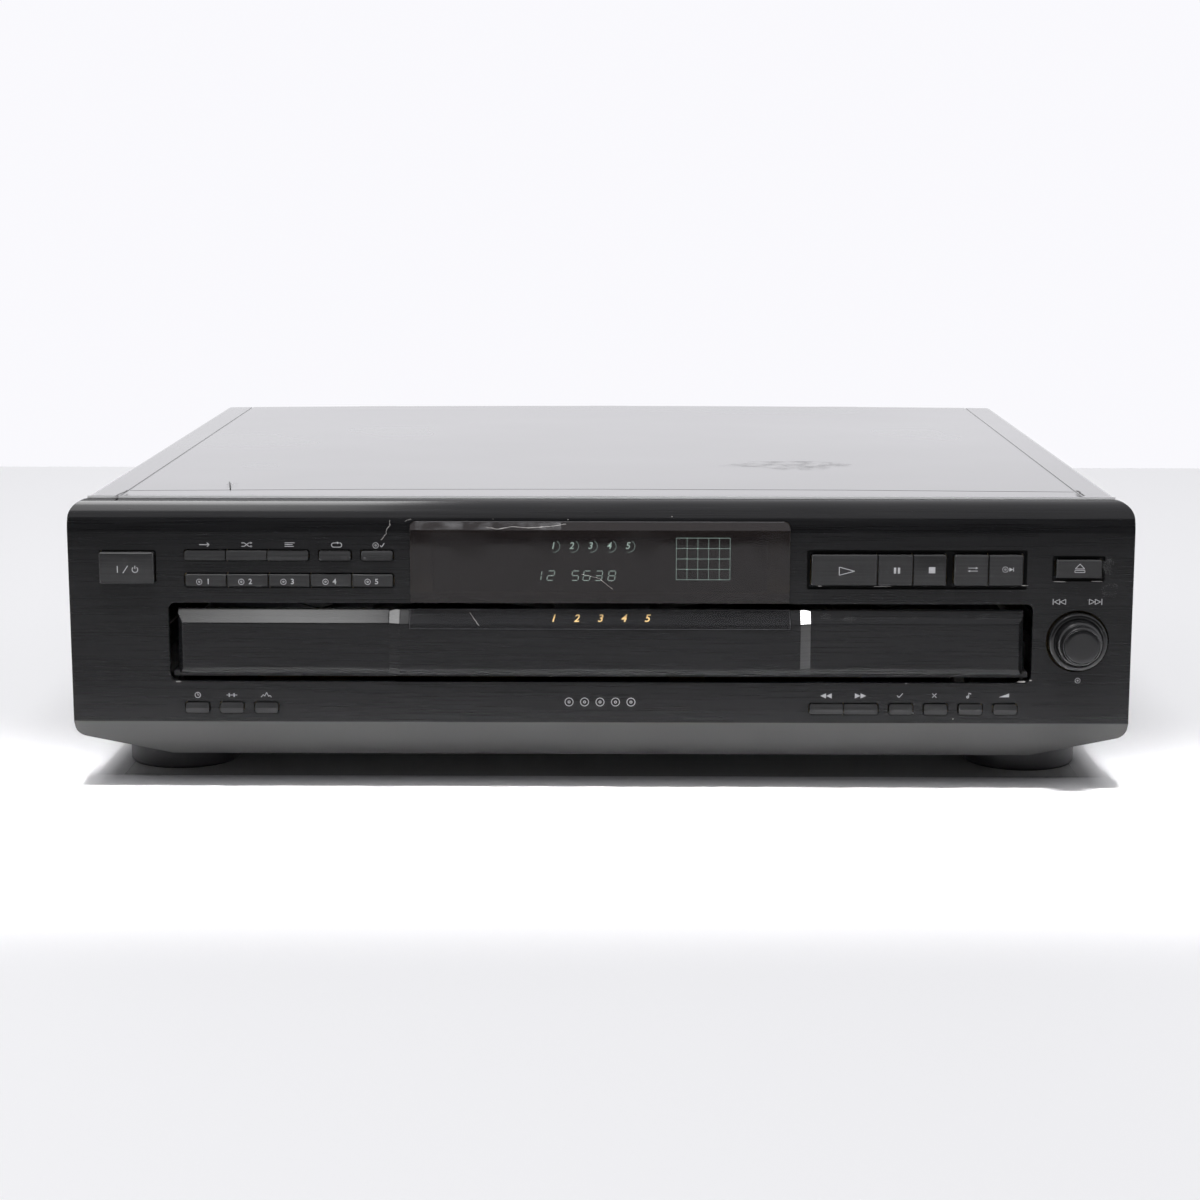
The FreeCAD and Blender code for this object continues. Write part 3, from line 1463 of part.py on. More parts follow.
def lift_frame():
    plate_top = low_z - lift_plate_drop
    skirt_low = lift_low
    y0 = lift_front_y
    y1 = lift_rear_y
    plate = box(-lift_half, lift_half, y0, y1, plate_top - lift_plate, plate_top)
    skirts = both_sides(box(lift_half - lift_wall, lift_half, y0, y1, skirt_low, plate_top))
    ends = [
        box(-lift_half, lift_half, y0, y0 + lift_wall, skirt_low, plate_top),
        box(-lift_half, lift_half, y1 - lift_wall, y1, skirt_low, plate_top),
    ]
    flange = box(-lift_flange_half, lift_flange_half, y0, y1, skirt_low, skirt_low + lift_flange)
    inner = box(-lift_half + lift_wall, lift_half - lift_wall, y0 + lift_wall, y1 - lift_wall, skirt_low - 1,
                skirt_low + lift_flange + 1)
    parts = [plate, flange.cut(inner)] + skirts + ends
    holes = []
    for x in (-post_x, post_x):
        for y in post_places():
            low = deck_floor_top + slip
            bush_height = skirt_low + lift_flange - low
            parts.append(rod(bush_radius, point(x, y, low), Z, bush_height))
            holes.append(rod(post_radius + shaft_gap, point(x, y, low - 1), Z, bush_height + 2))
    pin_z = skirt_low + lift_flange / 2
    for y in cam_pin_places():
        start = point(lift_flange_half, y, pin_z)
        parts.append(rod(cam_pin_radius, start, X, cam_gap + cam_plate))
    start, end = pickup_window()
    plate_low = plate_top - lift_plate
    holes.append(box(-pickup_half - 1, pickup_half + 1, start, min(end, y1 - lift_wall), plate_low - 1,
                     plate_top + 1))
    holes.append(rod(motor_shaft_radius + 1, point(0, spindle_y, plate_low - 1), Z, lift_plate + 2))
    return join(parts).cut(holes)


def lift_motors():
    top = low_z - lift_plate_drop - lift_plate
    spindle_start = point(0, spindle_y, top - spindle_motor_height)
    spindle = rod(spindle_motor_radius, spindle_start, Z, spindle_motor_height)
    spindle = spindle.cut(rod(motor_shaft_radius + shaft_gap, point(0, spindle_y, top - 8), Z, 9))
    x = -lift_half + lift_wall + sled_motor_radius
    z = lift_low + sled_motor_radius
    y = lift_rear_y - lift_wall - sled_motor_length
    sled = rod(sled_motor_radius, point(x, y, z), Y, sled_motor_length)
    return Part.makeCompound([spindle, sled])


def spindle_turntable():
    centre = point(0, spindle_y, 0)
    plate = rod(turntable_radius, centre + Z * (low_z - turntable_thickness), Z, turntable_thickness)
    cone = Part.makeCone(cone_radius, cone_tip_radius, cone_height, centre + Z * low_z, Z)
    shaft_low = low_z - lift_plate_drop - lift_plate - 8 + slip
    shaft = rod(motor_shaft_radius, centre + Z * shaft_low, Z, low_z - shaft_low)
    return join([plate, cone, shaft])


def sled_rails():
    y0 = lift_front_y + lift_wall
    length = lift_rear_y - lift_wall - y0
    z = low_z - rail_drop
    return Part.makeCompound([rod(rail_radius, point(x, y0, z), Y, length) for x in (-rail_x, rail_x)])


def optical_pickup():
    lens_y = spindle_y + lens_start
    top = low_z - pickup_drop
    y0 = lens_y - pickup_front
    y1 = lens_y + pickup_back
    body = box(-pickup_half, pickup_half, y0, y1, top - pickup_height, top)
    rail_z = low_z - rail_drop
    bearings = []
    bores = []
    for x in (-rail_x, rail_x):
        outer = rail_radius + 1.5
        bearings.append(rod(outer, point(x, y0, rail_z), Y, y1 - y0))
        bores.append(rod(rail_radius + shaft_gap, point(x, y0 - 1, rail_z), Y, y1 - y0 + 2))
    lens = rod(lens_radius, point(0, lens_y, top), Z, pickup_drop - lens_drop)
    return join([body, lens] + bearings).cut(bores)


def cam_plate_x():
    return lift_flange_half + cam_gap


def cam_pin_places():
    first = spindle_y + cam_front_from_spindle
    return (first, first + cam_pin_pitch)


def lift_cam():
    x0 = cam_plate_x()
    pin_low = lift_low + lift_flange / 2
    pin_high = pin_low + lift_travel
    pins = cam_pin_places()
    y0 = pins[0] - cam_margin
    y1 = pins[1] + cam_travel + cam_margin
    plate = box(x0, x0 + cam_plate, y0, y1, deck_floor_top + slip, tray_bottom - 0.8)
    slots = []
    radius = cam_pin_radius + cam_slot_gap
    slope = point(0, cam_travel, lift_travel)
    length = slope.Length
    across = slope.cross(X).normalize() * radius
    for y in pins:
        low = point(x0 - 1, y, pin_low)
        high = point(x0 - 1, y + cam_travel, pin_high)
        straight = prism([low + across, high + across, high - across, low - across],
                         point(cam_plate + 2, 0, 0))
        slots.append(straight)
        slots.append(rod(radius, low, X, cam_plate + 2))
        slots.append(rod(radius, high, X, cam_plate + 2))
    return plate.cut(slots)


parts = {
    "front_panel": front_panel,
    "display_window": display_window,
    "display_tube": display_tube,
    "front_boards": front_boards,
    "top_cover": top_cover,
    "chassis_base": chassis_base,
    "rear_panel": rear_panel,
    "line_out_jacks": line_out_jacks,
    "cord_gland": cord_gland,
    "feet": feet,
    "case_screws": case_screws,
    "main_board": main_board,
    "power_transformer": power_transformer,
    "mechanism_deck": mechanism_deck,
    "loading_motor": loading_motor,
    "motor_pinion": motor_pinion,
    "loading_gear": loading_gear,
    "clamp_bridge": clamp_bridge,
    "disc_clamper": disc_clamper,
    "tray_frame": tray_frame,
    "tray_front": tray_front,
    "tray_front_lens": tray_front_lens,
    "table_motor": table_motor,
    "table_drive_gear": table_drive_gear,
    "rotary_table": rotary_table,
    "table_cap": table_cap,
    "lift_frame": lift_frame,
    "lift_motors": lift_motors,
    "lift_cam": lift_cam,
    "spindle_turntable": spindle_turntable,
    "optical_pickup": optical_pickup,
    "sled_rails": sled_rails,
    "encoder_rotor": encoder_rotor,
    "jog_knob": jog_knob,
}


def main():
    os.makedirs("parts", exist_ok=True)
    shapes = {name: build() for name, build in parts.items()}
    for name in key_rows:
        shapes[name] = key(name)
    for name, shape in shapes.items():
        shape.exportStep(os.path.join("parts", name + ".step"))
        if not shape.isValid():
            print(name, "is not valid")
    whole = Part.makeCompound(list(shapes.values())).BoundBox
    print(len(shapes), "nodes")
    print("x", round(whole.XMin, 2), round(whole.XMax, 2))
    print("y", round(whole.YMin, 2), round(whole.YMax, 2))
    print("z", round(whole.ZMin, 2), round(whole.ZMax, 2))
    return shapes


if __name__ == "__main__":
    main()
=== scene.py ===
import json
import math
import random

import bmesh
import bpy
from mathutils import Matrix, Vector


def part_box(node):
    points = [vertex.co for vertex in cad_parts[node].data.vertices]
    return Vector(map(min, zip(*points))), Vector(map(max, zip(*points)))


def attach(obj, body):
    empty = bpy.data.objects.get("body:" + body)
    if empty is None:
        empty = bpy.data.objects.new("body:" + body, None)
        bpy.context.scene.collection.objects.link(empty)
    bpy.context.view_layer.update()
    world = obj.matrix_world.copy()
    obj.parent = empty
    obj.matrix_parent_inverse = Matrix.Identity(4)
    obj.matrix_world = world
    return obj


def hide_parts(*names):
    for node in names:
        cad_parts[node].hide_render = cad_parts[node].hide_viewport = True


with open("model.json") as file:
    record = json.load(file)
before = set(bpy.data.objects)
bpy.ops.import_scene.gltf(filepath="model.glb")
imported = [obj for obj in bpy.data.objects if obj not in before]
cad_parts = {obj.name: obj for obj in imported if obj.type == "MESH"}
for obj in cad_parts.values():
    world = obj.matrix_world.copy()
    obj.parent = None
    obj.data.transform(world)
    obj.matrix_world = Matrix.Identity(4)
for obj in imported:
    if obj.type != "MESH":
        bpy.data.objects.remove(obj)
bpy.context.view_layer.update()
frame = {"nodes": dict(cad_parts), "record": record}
nodes = frame["nodes"]

# The photograph's frame and camera, in pixels, degrees and metres
photo_size = 1200
focal_pixels = 2490.0
camera_place = Vector((0.0123, -1.1789, 0.257))
camera_pitch = 10.16
camera_yaw = 0.706

# Places taken from the frame
panel_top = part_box("front_panel")[1].z
window_low, window_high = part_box("display_window")
tube_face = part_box("display_tube")[0].y
screws_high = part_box("case_screws")[1]

# Places of the part, in metres
mm = 0.001
panel_face = -0.188
crease_z = 0.0287            # where the panel's slope below begins
crease_blur = 0.0003
slope_shade = (0.0135, 0.0190)    # heights between which the slope grows paler, out of the painted shade at its foot
cover_top = 0.120
cover_edge_inset = 3 * mm
drawer_face = panel_face     # beside its raised middle
bulge_half = 0.081           # the drawer front's raised middle, to where its flanks begin
bulge_flank = 0.0046
bulge_proud = 1.8 * mm
top_bevel_z = 0.0696         # of the drawer front
top_bevel_lean = math.atan(3.2 / 5.6)
low_bevel_z = 0.0511
window_bevel_z = 0.108
window_bevel_lean = math.atan(2.2 / 3.4)
window_corner = 2.4 * mm
key_gap = 0.55 * mm
key_flange = 1 * mm
key_recess = 0.8 * mm
play_recess_margin = 1.75 * mm
opener_recess_margin = 1.45 * mm
rear_face = 0.193
jack_spots = (0.130, 0.150)
jack_z = 0.034
jack_flange = 0.6 * mm
screw_z = 0.0275
screw_sides_y = (-0.1152, 0.173)
screw_rear_x = (-0.1909, -0.06, 0.06, 0.1909)
screw_cover_x = (-0.1272, 0.0, 0.1272)
screw_cover_z = 0.1127
screw_head = 1.8 * mm
table_y = -0.006
table_top = 0.064
table_radius = 0.168
table_rim = 0.020
well_count = 5
disc_count = 5

# Marks, in metres unless said
stroke = 0.27                # of a printed sign, in millimetres
font_height = 0.72           # of a digit, for a text of size 1
text_extrude = 0.015 * mm
text_proud = 0.005 * mm
plate_proud = 0.02 * mm
plate_thickness = 0.03 * mm
film_proud = 0.01 * mm
film_thickness = 0.02 * mm
haze_proud = 0.008 * mm
scratch_proud = 0.012 * mm
edge_line = 0.16 * mm
grid_columns = 5
grid_rows = 4
arc_steps = 20
corner_steps = 5
lathe_steps = 96
wear = random.Random(7)

# Stage, in metres
studio_white = (0.955, 0.950, 0.985)
fill_light = 0.3
room_half = 6.0
room_front = -4.0            # where the dark wall behind the camera stands
floor_end = 0.88             # behind the object
wall_height = 4.2
dark_half = 3.0
dark_end = -0.835            # the dark floor's edge towards the object
dark_lift = 0.002
shade_half = 0.22
shade_front = -0.165
shade_rear = 0.16
shade_lift = 0.0004
shade_fade = (0.188, 0.212)
overhead_y = -0.3
overhead_z = 3.2
shine_x = -0.95
shine_z = 3.1
shine_width = 1.1
narrow_size = 0.16           # of a lamp that lights one facet
narrow_beam = 12             # in degrees
drawer_spot = (-0.12, -0.19, 0.07)
flank_spot = (0.0833, -0.1874, 0.0724)    # the top of the drawer front's right flank


# Camera, lights and floor

def camera_turn():
    pitch = Matrix.Rotation(math.radians(90 - camera_pitch), 4, "X")
    return Matrix.Rotation(math.radians(camera_yaw), 4, "Z") @ pitch


def make_camera():
    data = bpy.data.cameras.new("camera")
    data.sensor_width = 36.0
    data.lens = focal_pixels / photo_size * data.sensor_width
    camera = bpy.data.objects.new("camera", data)
    camera.matrix_world = Matrix.Translation(camera_place) @ camera_turn()
    bpy.context.scene.collection.objects.link(camera)
    bpy.context.scene.camera = camera


class Surface:
    """A flat face on which marks are laid out in metres, as (distance across, height up the face)."""

    def __init__(self, origin, across=(1, 0, 0), up=(0, 0, 1)):
        self.origin = Vector(origin)
        self.across = Vector(across).normalized()
        self.up = Vector(up).normalized()
        self.out = self.across.cross(self.up)

    def point(self, a, b, proud):
        return self.origin + self.across * a + self.up * b + self.out * proud

    def at_pixel(self, u, v):
        """Where the photograph's pixel (u, v) falls on the face."""
        ray = camera_turn().to_3x3() @ Vector(((u - photo_size / 2) / focal_pixels,
                                               (photo_size / 2 - v) / focal_pixels, -1))
        reach = (self.origin - camera_place).dot(self.out) / ray.dot(self.out)
        place = camera_place + ray * reach - self.origin
        return Vector((place.dot(self.across), place.dot(self.up)))


def upright(y):
    return Surface((0, y, 0))


def leaning(y, z, lean):
    """A face that leans back from an edge at (y, z)."""
    return Surface((0, y, z), up=(0, math.sin(lean), math.cos(lean)))


def facing_up(y, z):
    return Surface((0, y, z), up=(0, 1, 0))


def facing_back(y):
    return Surface((0, y, 0), across=(-1, 0, 0))


def window_bevel():
    return leaning(window_low.y, window_bevel_z, window_bevel_lean)


def strip_face():
    """The clear strip's face, which leans back with the drawer front's top bevel."""
    return leaning(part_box("tray_front_lens")[0].y, top_bevel_z, top_bevel_lean)


def area_light(name, place, target, width, height, power):
    data = bpy.data.lights.new(name, "AREA")
    data.shape = "RECTANGLE"
    data.size = width
    data.size_y = height
    data.energy = power
    light = bpy.data.objects.new(name, data)
    light.location = place
    light.rotation_euler = (Vector(target) - Vector(place)).to_track_quat("-Z", "Y").to_euler()
    light.visible_camera = False
    bpy.context.scene.collection.objects.link(light)
    return light


def stage_plane(name, corners, made):
    mesh = bpy.data.meshes.new(name)
    mesh.from_pydata(corners, [], [tuple(range(len(corners)))])
    mesh.materials.append(made)
    plane = bpy.data.objects.new(name, mesh)
    bpy.context.scene.collection.objects.link(plane)
    return plane


def make_world():
    """White for reflections and the view, dimmer for soft light, so that the lamps shape the shadows."""
    world = bpy.data.worlds.new("studio")
    world.use_nodes = True
    tree = world.node_tree
    sky = tree.nodes["Background"]
    ray = tree.nodes.new("ShaderNodeLightPath")
    level = tree.nodes.new("ShaderNodeMapRange")
    level.inputs["To Min"].default_value = 1.0
    level.inputs["To Max"].default_value = fill_light
    tree.links.new(ray.outputs["Is Diffuse Ray"], level.inputs["Value"])
    tree.links.new(level.outputs["Result"], sky.inputs["Strength"])
    sky.inputs["Color"].default_value = (*studio_white, 1)
    bpy.context.scene.world = world
    bpy.context.scene.view_settings.view_transform = "Standard"


def level_plane(name, half, front, rear, z, made):
    corners = [(-half, front, z), (half, front, z), (half, rear, z), (-half, rear, z)]
    return stage_plane(name, corners, made)


def wall_plane(name, half, y, top, made):
    return stage_plane(name, [(-half, y, 0), (half, y, 0), (half, y, top), (-half, y, top)], made)


def make_stage():
    floor = material("floor_white", (0.9, 0.9, 0.915), 0.6)
    level_plane("floor", room_half, -room_half, floor_end, 0, floor)
    black = material("room_black", (0.01, 0.01, 0.01), 1.0)
    level_plane("floor_shade", shade_half, shade_front, shade_rear, shade_lift, shade_paint())
    cards = [
        level_plane("dark_floor", dark_half, room_front, dark_end, dark_lift, black),
        wall_plane("dark_wall", room_half, room_front, wall_height, black),
    ]
    for card in cards:
        card.visible_camera = False
        card.visible_diffuse = False
        card.visible_transmission = False
        card.visible_shadow = False
    overhead = area_light("overhead", (0, overhead_y, overhead_z), (0, overhead_y, 0), 2.8, 4.0, 92)
    overhead.visible_glossy = False
    for name, y, length, power in (("shine_top", -0.1, 1.7, 19.47), ("shine_rear", 1.65, 1.8, 45.87)):
        shine = area_light(name, (shine_x, y, shine_z), (shine_x, y, 0), shine_width, length, power)
        shine.visible_diffuse = False
    front = area_light("front_fill", (0, -0.6, 1.8), (0, -0.235, 0), 0.9, 0.10, 0.87)
    front.data.spread = math.radians(9)
    front.visible_glossy = False
    x, y, z = flank_spot
    light_drawer_only([
        area_light("bevel_left", (-0.34, -1.17, 1.15), drawer_spot, 0.20, 0.45, 2.8),
        narrow_light("flank_right", (0.84, -0.73, 0.83), (x, y, z), 0.042),
        narrow_light("flank_left", (-0.861, -0.709, 0.823), (-x, y, z), 0.005),
    ])


def shade_paint():
    """The deep shade under the object, which fades out at its sides."""
    shade = material("floor_shade", (0.32, 0.32, 0.32), 0.9, Specular_IOR_Level=0.1)
    aside = add_node(shade, "ShaderNodeMath", operation="ABSOLUTE")
    join_sockets(shade, own_place(shade).outputs["X"], aside.inputs[0])
    join_sockets(shade, spread(shade, aside.outputs[0], *shade_fade, 1, 0), shader_input(shade, "Alpha"))
    return shade


def light_drawer_only(lights):
    """Keeps the light of lamps off everything but the drawer front."""
    receivers = bpy.data.collections.new("drawer_front")
    receivers.objects.link(nodes["tray_front"])
    for light in lights:
        light.light_linking.receiver_collection = receivers


def narrow_light(name, place, target, power):
    """A lamp whose beam reaches little more than one facet."""
    light = area_light(name, place, target, narrow_size, narrow_size, power)
    light.data.spread = math.radians(narrow_beam)
    return light


# Materials

def material(name, color, roughness, **sockets):
    """A material with one Principled shader. The keywords are constant values of its sockets."""
    made = bpy.data.materials.new(name)
    made.use_nodes = True
    shader = made.node_tree.nodes["Principled BSDF"]
    shader.inputs["Base Color"].default_value = (*color, 1)
    shader.inputs["Roughness"].default_value = roughness
    for socket, value in sockets.items():
        shader.inputs[socket.replace("_", " ")].default_value = value
    return made


def add_node(made, kind, **values):
    new = made.node_tree.nodes.new(kind)
    for key, value in values.items():
        socket = key.replace("_", " ")
        if socket in new.inputs:
            new.inputs[socket].default_value = value
        else:
            setattr(new, key, value)
    return new


def join_sockets(made, output, target):
    made.node_tree.links.new(output, target)


def shader_input(made, socket):
    return made.node_tree.nodes["Principled BSDF"].inputs[socket]


def noise(made, scale, stretch=(1, 1, 1), detail=3.0):
    """Noise in the piece's own metres, from 0 to 1. Stretch makes it finer along an axis."""
    coordinates = add_node(made, "ShaderNodeTexCoord")
    mapping = add_node(made, "ShaderNodeMapping", Scale=stretch)
    join_sockets(made, coordinates.outputs["Object"], mapping.inputs["Vector"])
    texture = add_node(made, "ShaderNodeTexNoise", Scale=scale, Detail=detail)
    join_sockets(made, mapping.outputs["Vector"], texture.inputs["Vector"])
    return texture.outputs["Fac"]


def spread(made, value, start, end, low, high):
    """Maps start..end of a value to low..high, clamped."""
    ramp = add_node(made, "ShaderNodeMapRange", From_Min=start, From_Max=end, To_Min=low, To_Max=high)
    join_sockets(made, value, ramp.inputs["Value"])
    return ramp.outputs["Result"]


def vary_roughness(made, value, start, end, low, high):
    join_sockets(made, spread(made, value, start, end, low, high), shader_input(made, "Roughness"))


def color_mix(made, factor, first, second):
    """A colour between two, each of them a constant or a socket."""
    mix = add_node(made, "ShaderNodeMix", data_type="RGBA")
    join_sockets(made, factor, mix.inputs[0])
    for socket, value in ((mix.inputs[6], first), (mix.inputs[7], second)):
        if isinstance(value, tuple):
            socket.default_value = (*value, 1)
        else:
            join_sockets(made, value, socket)
    return mix.outputs[2]


def vary_color(made, value, start, end, first, second):
    mixed = color_mix(made, spread(made, value, start, end, 0, 1), first, second)
    join_sockets(made, mixed, shader_input(made, "Base Color"))


def own_place(made):
    """Splits the place in metres on a piece, whose own origin is the object's."""
    coordinates = add_node(made, "ShaderNodeTexCoord")
    split = add_node(made, "ShaderNodeSeparateXYZ")
    join_sockets(made, coordinates.outputs["Object"], split.inputs["Vector"])
    return split


def relief(made, value, depth, strength):
    """Bump of the given depth in metres."""
    bump = add_node(made, "ShaderNodeBump", Distance=depth, Strength=strength)
    join_sockets(made, value, bump.inputs["Height"])
    join_sockets(made, bump.outputs["Normal"], shader_input(made, "Normal"))


def brushed_plastic(name, color, roughness, shine):
    """Black plastic with faint level hairlines."""
    made = material(name, color, roughness, Specular_IOR_Level=shine)
    relief(made, noise(made, 1.0, (60, 60, 9000), 2), 0.000004, 0.25)
    least, most = brushed_roughness(roughness)
    vary_roughness(made, noise(made, 18, detail=4), 0.3, 0.7, least, most)
    dull = tuple(c * 1.35 + 0.002 for c in color)
    vary_color(made, noise(made, 1.0, (25, 25, 1500), 4), 0.35, 0.75, color, dull)
    return made


def brushed_roughness(middle):
    return middle - 0.03, middle + 0.05


def panel_plastic(name, color, roughness, below, roughness_below):
    """The same, with a duller slope below the crease, painted paler in part as the bright floor's
    reflection, and painted darker at its foot as shade.
    """
    shine = 0.26
    made = brushed_plastic(name, color, roughness, shine)
    height = own_place(made).outputs["Z"]
    slope = spread(made, height, crease_z - crease_blur, crease_z + crease_blur, 1, 0)
    # Painted shade: the slope is darker at its foot.
    painted_shade = tuple(c * 0.5 for c in below)
    below = color_mix(made, spread(made, height, *slope_shade, 0, 1), painted_shade, below)
    face_color = shader_input(made, "Base Color").links[0].from_socket
    face_roughness = shader_input(made, "Roughness").links[0].from_node
    join_sockets(made, color_mix(made, slope, face_color, below), shader_input(made, "Base Color"))
    ends = zip(("To Min", "To Max"), brushed_roughness(roughness), brushed_roughness(roughness_below))
    for end, on_face, on_slope in ends:
        join_sockets(made, spread(made, slope, 0, 1, on_face, on_slope), face_roughness.inputs[end])
    join_sockets(made, spread(made, slope, 0, 1, shine, 0.5), shader_input(made, "Specular IOR Level"))
    return made


def moulded_plastic(name, color, roughness):
    made = material(name, color, roughness)
    relief(made, noise(made, 3500, detail=2), 0.00003, 0.4)
    vary_roughness(made, noise(made, 40), 0.3, 0.7, roughness - 0.05, roughness + 0.08)
    vary_color(made, noise(made, 12), 0.3, 0.75, color, tuple(c * 1.25 + 0.002 for c in color))
    return made


def satin_paint(name, color, roughness, coat):
    made = material(name, color, roughness, Specular_IOR_Level=0.8, Coat_Weight=coat, Coat_Roughness=0.16)
    relief(made, noise(made, 900, detail=3), 0.00001, 0.3)
    vary_roughness(made, noise(made, 4, detail=3), 0.35, 0.7, roughness - 0.03, roughness + 0.04)
    vary_color(made, noise(made, 5, detail=4), 0.4, 0.7, color, tuple(c * 1.15 + 0.001 for c in color))
    return made


def plated_steel(name, color, roughness):
    made = material(name, color, roughness, Metallic=1.0)
    relief(made, noise(made, 1.0, (900, 60, 900), 3), 0.00003, 0.3)
    vary_roughness(made, noise(made, 30, detail=4), 0.3, 0.7, roughness - 0.1, roughness + 0.12)
    vary_color(made, noise(made, 45, detail=4), 0.3, 0.75, color, tuple(c * 0.75 for c in color))
    return made


def smooth_glass(name, color, roughness):
    made = material(name, color, roughness)
    vary_color(made, noise(made, 30), 0.35, 0.7, color, tuple(c * 1.2 for c in color))
    return made


def smoked(name, color, alpha):
    made = material(name, color, 0.06, Alpha=alpha, Specular_IOR_Level=0.5)
    vary_roughness(made, noise(made, 60, detail=5), 0.45, 0.75, 0.04, 0.13)
    return made


def haze(name, color, most):
    """Smudges that come and go over a patch."""
    made = material(name, color, 0.5)
    patches = spread(made, noise(made, 150, detail=5), 0.42, 0.70, 0, most)
    join_sockets(made, patches, shader_input(made, "Alpha"))
    return made


def glow(name, color, strength):
    made = material(name, color, 0.5)
    shader_input(made, "Emission Color").default_value = (*color, 1)
    shader_input(made, "Emission Strength").default_value = strength
    return made


def make_materials():
    black = (0.0062, 0.0062, 0.0067)
    steel = (0.62, 0.62, 0.6)
    return {
        # The slope's paler colour is in part a painted reflection of the bright floor.
        "panel_plastic": panel_plastic("panel_plastic", black, 0.13, (0.042, 0.041, 0.041), 0.42),
        "key_plastic": brushed_plastic("key_plastic", (0.020, 0.020, 0.0205), 0.18, 0.38),
        "knob_plastic": smooth_glass("knob_plastic", (0.007, 0.007, 0.0075), 0.2),
        # Painted shade: near-black matte on the floors of the key recesses.
        "recess_painted_shade": material("recess_painted_shade", (0.002, 0.002, 0.002), 0.7, Specular_IOR_Level=0.12),
        "cover_paint": satin_paint("cover_paint", (0.016, 0.016, 0.017), 0.3, 1.0),
        "rear_paint": satin_paint("rear_paint", (0.024, 0.024, 0.026), 0.42, 0.3),
        "window_smoked": smoked("window_smoked", (0.016, 0.013, 0.013), 0.72),
        "lens_smoked": smoked("lens_smoked", (0.016, 0.016, 0.018), 0.4),
        "tube_glass": smooth_glass("tube_glass", (0.012, 0.010, 0.010), 0.2),
        "foot_plastic": moulded_plastic("foot_plastic", (0.010, 0.010, 0.011), 0.5),
        "base_steel": plated_steel("base_steel", steel, 0.4),
        "bridge_steel": plated_steel("bridge_steel", steel, 0.38),
        "motor_steel": plated_steel("motor_steel", (0.6, 0.6, 0.57), 0.32),
        "rail_steel": plated_steel("rail_steel", (0.75, 0.75, 0.75), 0.15),
        "pickup_metal": plated_steel("pickup_metal", (0.5, 0.5, 0.52), 0.42),
        "screw_black": plated_steel("screw_black", (0.05, 0.05, 0.05), 0.35),
        "mechanism_plastic": moulded_plastic("mechanism_plastic", (0.03, 0.03, 0.031), 0.5),
        "clamper_plastic": moulded_plastic("clamper_plastic", (0.022, 0.022, 0.022), 0.45),
        "tray_plastic": moulded_plastic("tray_plastic", (0.022, 0.022, 0.023), 0.45),
        "table_plastic": moulded_plastic("table_plastic", (0.027, 0.027, 0.028), 0.42),
        "turntable_plastic": moulded_plastic("turntable_plastic", (0.04, 0.04, 0.04), 0.5),
        "cap_plastic": moulded_plastic("cap_plastic", (0.016, 0.016, 0.017), 0.2),
        "gear_nylon": moulded_plastic("gear_nylon", (0.72, 0.71, 0.66), 0.4),
        "encoder_plastic": moulded_plastic("encoder_plastic", (0.6, 0.6, 0.56), 0.45),
        "circuit_board": moulded_plastic("circuit_board", (0.27, 0.19, 0.08), 0.5),
        "transformer_iron": plated_steel("transformer_iron", (0.12, 0.12, 0.13), 0.5),
        "gland_rubber": moulded_plastic("gland_rubber", (0.012, 0.012, 0.012), 0.65),
        "jack_plastic": moulded_plastic("jack_plastic", (0.018, 0.018, 0.018), 0.3),
        "ink": moulded_plastic("ink", (0.36, 0.36, 0.37), 0.5),
        "gold_ink": moulded_plastic("gold_ink", (0.75, 0.52, 0.22), 0.4),
        "pale_wear": moulded_plastic("pale_wear", (0.30, 0.29, 0.28), 0.6),
        "display_glow": glow("display_glow", (0.62, 0.80, 0.72), 5.0),
        "display_dim": glow("display_dim", (0.50, 0.66, 0.60), 3.2),
        # Dark seams on the cover, and the painted shade in the screw slots.
        "seam_dark": moulded_plastic("seam_dark", (0.004, 0.004, 0.004), 0.6),
        "smudge": haze("smudge", (0.28, 0.28, 0.28), 0.12),
        "window_haze": haze("window_haze", (0.30, 0.30, 0.31), 0.32),
        # Painted highlight along the strip's and the window's edges.
        "edge_painted_highlight": material("edge_painted_highlight", (0.085, 0.085, 0.09), 0.35),
        # Painted highlight on the cover's front edge.
        "cover_edge_painted_highlight": material("cover_edge_painted_highlight", (0.80, 0.80, 0.81), 0.4),
        "cover_smudge": haze("cover_smudge", (0.03, 0.03, 0.03), 0.15),
        # Paler brushed plastic: a painted highlight on the drawer front's right flank.
        "flank_brushed_highlight": brushed_plastic("flank_brushed_highlight", (0.045, 0.045, 0.045), 0.3, 0.4),
        "jack_red": moulded_plastic("jack_red", (0.42, 0.012, 0.012), 0.35),
        "jack_white": moulded_plastic("jack_white", (0.62, 0.62, 0.60), 0.35),
        "table_ink": moulded_plastic("table_ink", (0.30, 0.30, 0.30), 0.5),
    }


def dress_nodes(materials):
    slots = {part["node"]: part["material_slot"] for part in frame["record"]["subparts"]}
    for name, piece in nodes.items():
        piece.data.materials.clear()
        piece.data.materials.append(materials[slots[name]])


def round_edges(name, width, angle=30):
    """Rounds a node's sharp edges with modifiers."""
    piece = nodes[name]
    weld = piece.modifiers.new("weld", "WELD")
    weld.merge_threshold = 0.00001
    flat = piece.modifiers.new("flat", "DECIMATE")
    flat.decimate_type = "DISSOLVE"
    flat.angle_limit = math.radians(0.5)
    rounding = piece.modifiers.new("rounding", "BEVEL")
    rounding.width = width
    rounding.segments = 2
    rounding.limit_method = "ANGLE"
    rounding.angle_limit = math.radians(angle)


# Flat marks, drawn in millimetres about their middle and laid on a face

